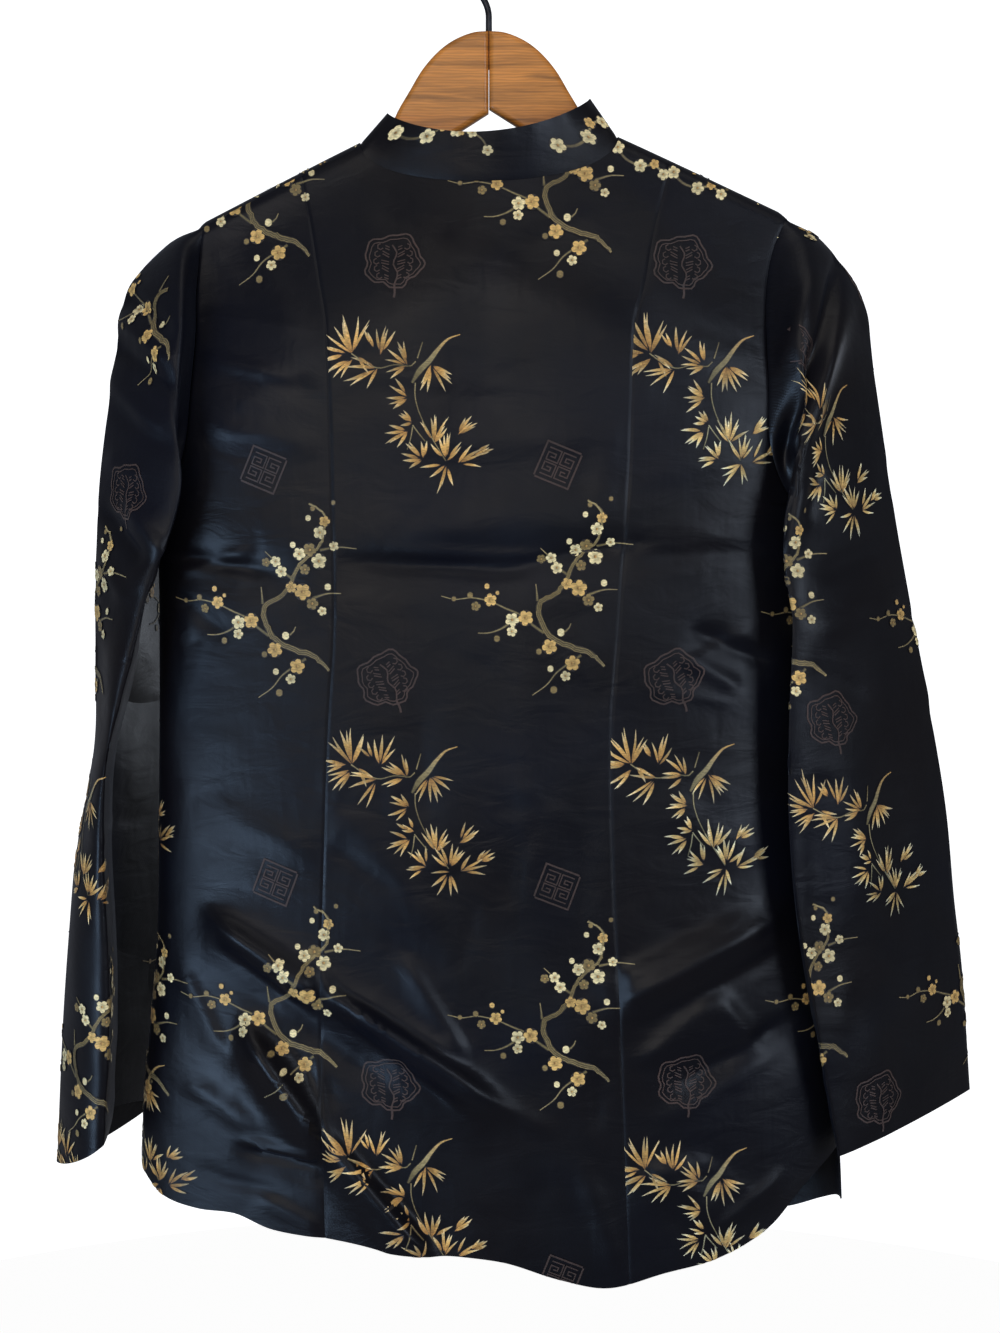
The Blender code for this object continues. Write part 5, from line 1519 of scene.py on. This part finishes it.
# ================================================================ fastenings
FROG_COUNT = 5
FROG_TOP = -246.0
FROG_PITCH = 92.0
FROG_LENGTH = 40.0
FROG_CORD_RADIUS = 1.5
FROG_CORD_SPREAD = 2.1
FROG_KNOT_RADIUS = 4.6
FROG_LIFT = 0.35
FROG_EYE_RISE = 3.5
KNOT_CORD_RADIUS = 1.25
KNOT_STEPS = 108
KNOT_REACH = FROG_KNOT_RADIUS - KNOT_CORD_RADIUS - 0.1


def on_front(x, z, lift):
    """A point on the front's cloth, moved out from it."""
    x, z = np.atleast_1d(float(x)), np.atleast_1d(float(z))
    point = body_surface(turn_of(x, z), x, reach_at(x, z, 1))[0]
    return point + np.array([0.0, lift, 0.0])


def add_line(data, points, cyclic):
    """Give a curve one straight-sided spline through points in millimetres."""
    spline = data.splines.new("POLY")
    spline.points.add(len(points) - 1)
    for target, point in zip(spline.points, points):
        target.co = (*(float(c) * MM for c in point), 1.0)
    spline.use_cyclic_u = cyclic
    return spline


def cord_object(name, path, radius, material, cyclic=True, sides=3):
    data = bpy.data.curves.new(name, "CURVE")
    data.dimensions = "3D"
    data.bevel_depth = radius * MM
    data.bevel_resolution = sides
    data.use_fill_caps = not cyclic
    data.materials.append(material)
    add_line(data, path, cyclic).use_smooth = True
    return link(name, data)


def as_mesh(source):
    """Turn a curve object into a mesh object of the same name."""
    name = source.name
    bpy.context.view_layer.update()
    evaluated = source.evaluated_get(bpy.context.evaluated_depsgraph_get())
    mesh = bpy.data.meshes.new_from_object(evaluated)
    data = source.data
    bpy.data.objects.remove(source)
    bpy.data.curves.remove(data)
    made = link(name, mesh)
    made.name = name
    return made


def join(parts, name):
    """Join mesh objects into the first of them."""
    first = parts[0]
    with bpy.context.temp_override(active_object=first, object=first, selected_objects=parts,
                                   selected_editable_objects=parts):
        bpy.ops.object.join()
    first.name = name
    first.data.name = name
    return first


def hairpin(hand, height, near, eye):
    """A cord doubled back on itself, with a round eye for the knot if eye is given."""
    low = FROG_LIFT + FROG_CORD_RADIUS
    run = np.linspace(FROG_LENGTH, near, 14)
    path = [(x, FROG_CORD_SPREAD, low) for x in run]
    if eye:
        open_angle = atan2(FROG_CORD_SPREAD, near)
        for angle in np.linspace(open_angle, 2 * pi - open_angle, 34)[1:-1]:
            rise = FROG_EYE_RISE * (1.0 - cos(angle)) / 2
            path.append((eye * cos(angle), eye * sin(angle), low + rise))
    path += [(x, -FROG_CORD_SPREAD, low) for x in reversed(run)]
    curl = [(FROG_LENGTH + 1.6 * sin(a), -FROG_CORD_SPREAD * cos(a), low)
            for a in np.linspace(0.0, pi, 7)[1:-1]]
    return [on_front(hand * x, height + z, lift) for x, z, lift in path + curl]


def on_ball(centre, radius, tilt, around):
    """Points at these angles on a ball: tilt is out from the cloth."""
    return np.stack([centre[0] + radius * np.cos(tilt) * np.cos(around),
                     centre[1] + radius * np.sin(tilt),
                     centre[2] + radius * np.cos(tilt) * np.sin(around)], axis=-1)


def knot_path(centre):
    """The path of one cord woven over and under itself round a ball."""
    turn = np.linspace(0.0, 2 * pi, KNOT_STEPS, endpoint=False)
    tilt = 0.62 * np.sin(5 * turn)
    around = 3 * turn
    return on_ball(centre, KNOT_REACH + 0.28 * np.sin(10 * turn + 0.7), tilt, around)


def knot_cap(name, centre, material):
    """The middle of a knot: a small crowned ball of cord coils."""
    turn = np.linspace(0.0, 5 * pi, 70)
    tilt = np.linspace(1.45, 0.42, 70)
    path = on_ball(centre, KNOT_REACH, tilt, turn)
    return as_mesh(cord_object(name, path, KNOT_CORD_RADIUS * 0.9, material, cyclic=False))


# ================================================================ hanger
HANGER_THICKNESS = 12.0
HANGER_EDGE = 3.2
HANGER_CLEARANCE = 1.3
HANGER_MITRE_HALF_GAP = 0.15
HumpPoint = namedtuple("HumpPoint", "x height")
HANGER_HUMP = table_of(HumpPoint,
    (0, -75), (10, -75.9), (22, -80.6), (32, -87.8), (42, -99), (50, -112), (57, -123.5),
    (61, -132), (65, -138.5), (71, -142.8), (78, -146.4))
HANGER_NECK_DIP = 3.4
HANGER_DIP_START = 84.0
HANGER_DIP_FADE = 26.0
HANGER_END = 168.0
HANGER_TIP = 6.0
HANGER_NECK_DEPTH = 27.0
HANGER_NOTCH_REACH = 60.0
HANGER_NOTCH_SLOPE = 0.62
HANGER_END_DEPTH = 20.0
WIRE_RADIUS = 2.0
HOOK_RADIUS = 24.0
STEM_FOOT = -98.0
STEM_BEND = -66.0
HOOK_START = 222.0
HOOK_END = -42.0


def hanger_top(hand, x):
    """Height of the wood's top edge, at distances from its middle."""
    dip = HANGER_NECK_DIP * (1.0 - smoothstep((x - HANGER_DIP_START) / HANGER_DIP_FADE))
    low = crest(hand * x) - WALL - HANGER_CLEARANCE - dip
    return np.where(x < HANGER_HUMP[-1].x, lookup(HANGER_HUMP, x, "height"), low)


def hanger_outline(hand):
    """The outline of one half, from the mitre along the top, round the tip and back."""
    steps = np.linspace(HANGER_MITRE_HALF_GAP, HANGER_END, 86)
    top = list(zip(steps, hanger_top(hand, steps)))
    tip_top = top[-1][1]
    half = HANGER_END_DEPTH / 2
    angles = np.linspace(0.0, pi, 14)[1:-1]
    tip = [(HANGER_END + HANGER_TIP * sin(a), tip_top - half + half * cos(a)) for a in angles]
    back = steps[::-1]
    share = np.maximum(back - HANGER_NOTCH_REACH, 0.0) / (HANGER_END - HANGER_NOTCH_REACH)
    edge = crest(hand * np.maximum(back, HANGER_NOTCH_REACH)) - WALL - HANGER_CLEARANCE
    depth = mix(HANGER_NECK_DEPTH, HANGER_END_DEPTH, share)
    rise = np.maximum(HANGER_NOTCH_REACH - back, 0.0) * HANGER_NOTCH_SLOPE
    under = list(zip(back, edge - depth + rise))
    return [(hand * x, z, 0.0) for x, z in top + tip + under]


def hanger_arm(hand, material):
    data = bpy.data.curves.new("arm", "CURVE")
    data.dimensions = "2D"
    data.fill_mode = "BOTH"
    data.extrude = (HANGER_THICKNESS / 2 - HANGER_EDGE) * MM
    data.bevel_depth = HANGER_EDGE * MM
    data.bevel_resolution = 4
    data.offset = -HANGER_EDGE * MM
    data.materials.append(material)
    add_line(data, hanger_outline(hand), True)
    arm = as_mesh(link("arm_" + HAND_NAME[hand], data))
    mesh = arm.data
    places = np.empty(len(mesh.vertices) * 3)
    mesh.vertices.foreach_get("co", places)
    places = places.reshape(-1, 3)
    upright = np.stack([places[:, 0], -places[:, 2], places[:, 1]], axis=-1)
    mesh.vertices.foreach_set("co", upright.reshape(-1))
    mesh.polygons.foreach_set("use_smooth", [True] * len(mesh.polygons))
    mesh.set_sharp_from_angle(angle=radians(WOOD_SHARP_ANGLE))
    mesh.update()
    return arm


def hook_path():
    path = [(0.0, 0.0, z) for z in np.linspace(STEM_FOOT, STEM_BEND, 6)]
    centre = -(HOOK_RADIUS - WIRE_RADIUS)
    start = radians(HOOK_START)
    first = np.array([HOOK_RADIUS * cos(start), 0.0, centre + HOOK_RADIUS * sin(start)])
    heading = np.array([sin(start), 0.0, -cos(start)])
    foot, up = np.array([0.0, 0.0, STEM_BEND]), np.array([0.0, 0.0, 1.0])
    reach = np.linalg.norm(first - foot)
    for t in np.linspace(0.0, 1.0, 14)[1:-1]:
        path.append(hermite(t, foot, up * reach, first, heading * reach))
    for angle in np.radians(np.linspace(HOOK_START, HOOK_END, 60)):
        path.append((HOOK_RADIUS * cos(angle), 0.0, centre + HOOK_RADIUS * sin(angle)))
    return path


# ================================================================ sizes, finishes and pieces
class JacketFinish(bpy.types.PropertyGroup):
    """Colours and finish of the jacket and its hanger."""
    silk_colour: bpy.props.FloatVectorProperty(
        name="Silk", description="Ground colour of the silk", subtype="COLOR", size=3,
        min=0.0, max=1.0, default=(0.0036, 0.0034, 0.0050))
    silk_roughness: bpy.props.FloatProperty(
        name="Silk roughness", description="How dull the silk is", subtype="FACTOR", min=0.1, max=1.0,
        default=0.36)
    cord_colour: bpy.props.FloatVectorProperty(
        name="Cords", description="Colour of the cords of the fastenings", subtype="COLOR", size=3,
        min=0.0, max=1.0, default=(0.012, 0.012, 0.016))
    wood_colour: bpy.props.FloatVectorProperty(
        name="Wood", description="Colour of the hanger's wood", subtype="COLOR", size=3,
        min=0.0, max=1.0, default=(0.47, 0.170, 0.030))
    wire_colour: bpy.props.FloatVectorProperty(
        name="Wire", description="Colour of the hook's wire", subtype="COLOR", size=3,
        min=0.0, max=1.0, default=(0.020, 0.020, 0.023))


class JacketStage(bpy.types.PropertyGroup):
    """Where the floor, the lights and the camera are."""
    floor_drop: bpy.props.FloatProperty(
        name="Floor", description="How far the floor is below the hanging point", unit="LENGTH",
        default=1.45, min=0.9)
    camera_place: bpy.props.FloatVectorProperty(
        name="Camera", description="Where the camera is", subtype="XYZ", size=3, unit="LENGTH",
        default=(0.007, -1.300, -0.322))
    camera_tilt: bpy.props.FloatProperty(
        name="Camera tilt", description="Turn of the camera about X", unit="ROTATION",
        default=radians(83.266))
    camera_lens: bpy.props.FloatProperty(
        name="Lens", description="Focal length of the camera in millimetres", default=72.5, min=10.0)


# the floor is a disc that curves up into a wall all round; the stage is in metres
FLOOR_INNER_RADIUS = 1.5
FLOOR_FLAT_RADIUS = 3.2
FLOOR_CURVE_RADIUS = 0.9
FLOOR_CURVE_STEPS = 12
FLOOR_WALL_TOP = 4.5
FLOOR_SIDES = 96
ROOM_COLOUR = (0.93, 0.95, 1.0, 1.0)
ROOM_STRENGTH = 0.20
SENSOR_WIDTH = 36.0
Light = namedtuple("Light", "name place aim size power colour")
LIGHTS = (
    Light("window_light", (-1.25, -1.35, -1.10), (-0.05, 0.0, -0.6), (0.7, 0.7), 22.0,
          (0.46, 0.68, 1.0)),
    Light("side_light", (1.5, -1.7, -0.2), (0.1, 0.0, -0.5), (0.6, 1.2), 20.0, (0.72, 0.83, 1.0)),
    Light("room_light", (-0.5, -2.4, 0.2), (0.0, 0.0, -0.4), (1.2, 1.2), 14.0, (1.0, 0.94, 0.87)),
    Light("front_light", (1.4, 1.6, -0.6), (0.0, 0.0, -0.5), (0.9, 0.9), 6.0, (0.80, 0.88, 1.0)),
    Light("top_light", (0.2, -1.0, 1.5), (0.0, 0.0, -0.2), (1.6, 1.0), 8.0, (1.0, 0.96, 0.90)),
)
SHEETS = {
}


def sheet_named(name):
    if name not in SHEETS:
        if name.startswith("sleeve_"):
            SHEETS[name] = sleeve_sheet(-1 if name.endswith("left") else 1)
        elif name == "collar":
            SHEETS[name] = collar_sheet()
        else:
            SHEETS[name] = panel_sheet(body_panels()[name])
    return SHEETS[name]


def cut_size(sheet):
    """Width, length and area of a sheet laid flat, in metres."""
    points = sheet.points * MM
    if sheet.closed:
        points = np.concatenate([points, points[:, :1]], axis=1)
    across = np.linalg.norm(np.diff(points, axis=1), axis=-1).sum(axis=1).max()
    down = np.linalg.norm(np.diff(points, axis=0), axis=-1).sum(axis=0).max()
    a = points[1:, 1:] - points[:-1, :-1]
    b = points[1:, :-1] - points[:-1, 1:]
    area = (np.linalg.norm(np.cross(a, b), axis=-1) / 2).sum()
    return float(across), float(down), float(area)


def make_cloth(name, piece, weave):
    """One piece of cloth in place of its solid, with the figures woven on it."""
    sheet = sheet_named(name)
    cloth = cloth_object(piece, sheet, finish_named("silk"))
    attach(cloth, "root")
    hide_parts(name)
    brocade = Brocade(sheet, sum(ord(c) for c in name))
    weave(brocade)
    figures = brocade.finish("brocade_" + name, finish_named("thread"))
    if figures is not None:
        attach(figures, "root")
    width, length, area = cut_size(sheet)
    area = min(area, width * length)
    return cloth


def weave_body(name, panel):
    """Lay the figures that reach one panel of the body."""
    side = panel.side
    low, high = sorted(float(panel.edge(k, np.array([0.5]))[1][0]) for k in (0, 1))
    left = SPRAY_PAST_LEFT if name == "back_side_left" else 0.0
    right = SPRAY_PAST_FRONT if side > 0 else 0.0

    def weave(brocade):
        for figure in BACK_FIGURES + PLUM_FIGURES:
            x, z = figure.x * -side, figure.z
            if figure.kind == "bamboo":
                middle, past = x - side * BAMBOO_HALF_WIDTH * figure.size, (left, right)
            else:
                middle, past = x, (FIGURE_PAST, FIGURE_PAST)
            if not low - past[0] <= middle <= high + past[1]:
                continue
            at = np.array([x]), np.array([z])
            half = lookup(BODY, at[1], "half_width")
            beyond = at[0] - lookup(BODY, at[1], "centre")
            beyond = np.sign(beyond) * np.maximum(np.abs(beyond) - half, 0.0)
            across = length_of(turn_of(*at)) * half / TYPICAL_SECTION.half_width + beyond
            brocade.weave(figure, float(across[0]), z, mirrored=side > 0)
    return weave


def weave_seen(brocade, figures, heading):
    """Lay figures on a sleeve or the collar at places seen along a level line."""
    for figure in figures:
        for shift in SEEN_SHIFTS:
            origin = (figure.x + shift, -SEEN_FROM * heading, figure.z)
            found = brocade.cloth.flat_of(origin, (0.0, heading, 0.0))
            if found is not None:
                brocade.weave(figure, float(found[0]) - heading * shift, float(found[1]))
                break


class MakeBack(bpy.types.Operator):
    """Make the three pieces of the back: the centre panel and the two side panels."""
    bl_idname = "jacket.make_back"
    bl_label = "Back"

    def execute(self, context):
        for name in ("back_centre", "back_side_left", "back_side_right"):
            make_cloth(name, "silk_" + name, weave_body(name, body_panels()[name]))
        return {"FINISHED"}


class MakeFronts(bpy.types.Operator):
    """Make the two fronts, which meet at the middle."""
    bl_idname = "jacket.make_fronts"
    bl_label = "Fronts"

    def execute(self, context):
        for name in ("front_left", "front_right"):
            make_cloth(name, "silk_" + name, weave_body(name, body_panels()[name]))
        return {"FINISHED"}


class MakeSleeves(bpy.types.Operator):
    """Make the two sleeves, set into the armholes."""
    bl_idname = "jacket.make_sleeves"
    bl_label = "Sleeves"

    def execute(self, context):
        for hand in (-1, 1):
            def weave(brocade, hand=hand):
                weave_seen(brocade, SLEEVE_BACK_FIGURES[hand], 1.0)
                weave_seen(brocade, SLEEVE_FRONT_FIGURES[hand], -1.0)
            make_cloth("sleeve_" + HAND_NAME[hand], "silk_sleeve_" + HAND_NAME[hand], weave)
        return {"FINISHED"}


class MakeCollar(bpy.types.Operator):
    """Make the stand collar, which is open at the front."""
    bl_idname = "jacket.make_collar"
    bl_label = "Collar"

    def execute(self, context):
        def weave(brocade):
            weave_seen(brocade, COLLAR_FIGURES, 1.0)
            weave_seen(brocade, COLLAR_FIGURES[:2], -1.0)
        make_cloth("collar", "silk_collar", weave)
        return {"FINISHED"}


class MakeFastenings(bpy.types.Operator):
    """Make the five cord loops and the five knots that fill them."""
    bl_idname = "jacket.make_fastenings"
    bl_label = "Fastenings"

    def execute(self, context):
        cord = finish_named("cord")
        eye = FROG_KNOT_RADIUS + FROG_CORD_RADIUS + FROG_LIFT
        for number in range(1, FROG_COUNT + 1):
            height = FROG_TOP - (number - 1) * FROG_PITCH
            path = hairpin(1, height, sqrt(eye ** 2 - FROG_CORD_SPREAD ** 2), eye)
            loop = as_mesh(cord_object(f"cord_loop_{number}", path, FROG_CORD_RADIUS, cord))
            path = hairpin(-1, height, FROG_CORD_SPREAD, 0.0)
            tail = as_mesh(cord_object(f"cord_knot_{number}", path, FROG_CORD_RADIUS, cord))
            centre = on_front(0.0, height, FROG_LIFT + FROG_KNOT_RADIUS)
            ball = as_mesh(cord_object("knot_weave", knot_path(centre), KNOT_CORD_RADIUS, cord))
            knot = join([tail, ball, knot_cap("knot_cap", centre, cord)], f"cord_knot_{number}")
            for piece, node in ((loop, f"frog_loop_{number}"), (knot, f"frog_knot_{number}")):
                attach(piece, "root")
                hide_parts(node)
        return {"FINISHED"}


class MakeHanger(bpy.types.Operator):
    """Make the two wooden arms of the hanger and its wire hook."""
    bl_idname = "jacket.make_hanger"
    bl_label = "Hanger"

    def execute(self, context):
        for hand in (-1, 1):
            arm = hanger_arm(hand, finish_named("wood"))
            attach(arm, "root")
            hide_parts("hanger_arm_" + HAND_NAME[hand])
        hook = as_mesh(cord_object("wire_hook", hook_path(), WIRE_RADIUS, finish_named("wire"),
                                   cyclic=False, sides=5))
        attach(hook, "root")
        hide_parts("hanger_hook")
        return {"FINISHED"}


class MakeStage(bpy.types.Operator):
    """Make the pale floor, the soft lights and the camera."""
    bl_idname = "jacket.make_stage"
    bl_label = "Stage"

    def execute(self, context):
        sizes = context.scene.jacket_stage
        level = -sizes.floor_drop
        profile = [(FLOOR_INNER_RADIUS, level), (FLOOR_FLAT_RADIUS, level)]
        for angle in np.linspace(0.0, pi / 2, FLOOR_CURVE_STEPS + 1)[1:]:
            profile.append((FLOOR_FLAT_RADIUS + FLOOR_CURVE_RADIUS * sin(angle),
                            level + FLOOR_CURVE_RADIUS * (1.0 - cos(angle))))
        profile.append((FLOOR_FLAT_RADIUS + FLOOR_CURVE_RADIUS, FLOOR_WALL_TOP))
        ring = np.linspace(0.0, 2 * pi, FLOOR_SIDES, endpoint=False)
        verts = [(r * cos(a), r * sin(a), z) for r, z in profile for a in ring]
        faces = [list(range(FLOOR_SIDES))]
        for low in range(0, (len(profile) - 1) * FLOOR_SIDES, FLOOR_SIDES):
            high = low + FLOOR_SIDES
            faces += [[low + n, low + (n + 1) % FLOOR_SIDES, high + (n + 1) % FLOOR_SIDES, high + n]
                      for n in range(FLOOR_SIDES)]
        floor = mesh_object("pale_floor", verts, faces, finish_named("paper"))
        floor.visible_glossy = False
        floor.visible_diffuse = False
        world = bpy.data.worlds.new("soft_room")
        world.use_nodes = True
        room = world.node_tree.nodes["Background"]
        room.inputs["Color"].default_value = ROOM_COLOUR
        room.inputs["Strength"].default_value = ROOM_STRENGTH
        context.scene.world = world
        for light in LIGHTS:
            data = bpy.data.lights.new(light.name, "AREA")
            data.shape = "RECTANGLE"
            data.size, data.size_y = light.size
            data.energy = light.power
            data.color = light.colour
            lamp = link(light.name, data)
            lamp.location = light.place
            heading = Vector(light.aim) - Vector(light.place)
            lamp.rotation_euler = heading.to_track_quat("-Z", "Y").to_euler()
        data = bpy.data.cameras.new("camera")
        data.sensor_fit = "HORIZONTAL"
        data.sensor_width = SENSOR_WIDTH
        data.lens = sizes.camera_lens
        data.clip_start = 0.01
        camera = link("camera", data)
        camera.location = sizes.camera_place
        camera.rotation_euler = (sizes.camera_tilt, 0.0, 0.0)
        context.scene.camera = camera
        context.scene.view_settings.view_transform = "Standard"
        return {"FINISHED"}


class JacketPanel(bpy.types.Panel):
    """The jacket's finishes, its stage and the pieces that can be made."""
    bl_idname = "VIEW3D_PT_jacket"
    bl_label = "Jacket"
    bl_space_type = "VIEW_3D"
    bl_region_type = "UI"
    bl_category = "Jacket"

    def draw(self, context):
        finish, stage = context.scene.jacket_finish, context.scene.jacket_stage
        for group in (finish, stage):
            for name in group.__annotations__:
                self.layout.prop(group, name)
        for operator in OPERATORS:
            self.layout.operator(operator.bl_idname)


OPERATORS = (MakeStage, MakeHanger, MakeBack, MakeFronts, MakeSleeves, MakeCollar, MakeFastenings)
CLASSES = (JacketFinish, JacketStage) + OPERATORS + (JacketPanel,)


def register():
    for kind in CLASSES:
        bpy.utils.register_class(kind)
    bpy.types.Scene.jacket_finish = bpy.props.PointerProperty(type=JacketFinish)
    bpy.types.Scene.jacket_stage = bpy.props.PointerProperty(type=JacketStage)


def unregister():
    del bpy.types.Scene.jacket_finish
    del bpy.types.Scene.jacket_stage
    for kind in reversed(CLASSES):
        bpy.utils.unregister_class(kind)


def main():
    register()
    for step in (bpy.ops.jacket.make_stage, bpy.ops.jacket.make_hanger, bpy.ops.jacket.make_back,
                 bpy.ops.jacket.make_fronts, bpy.ops.jacket.make_sleeves,
                 bpy.ops.jacket.make_collar, bpy.ops.jacket.make_fastenings):
        step()


if __name__ == "__main__":
    main()
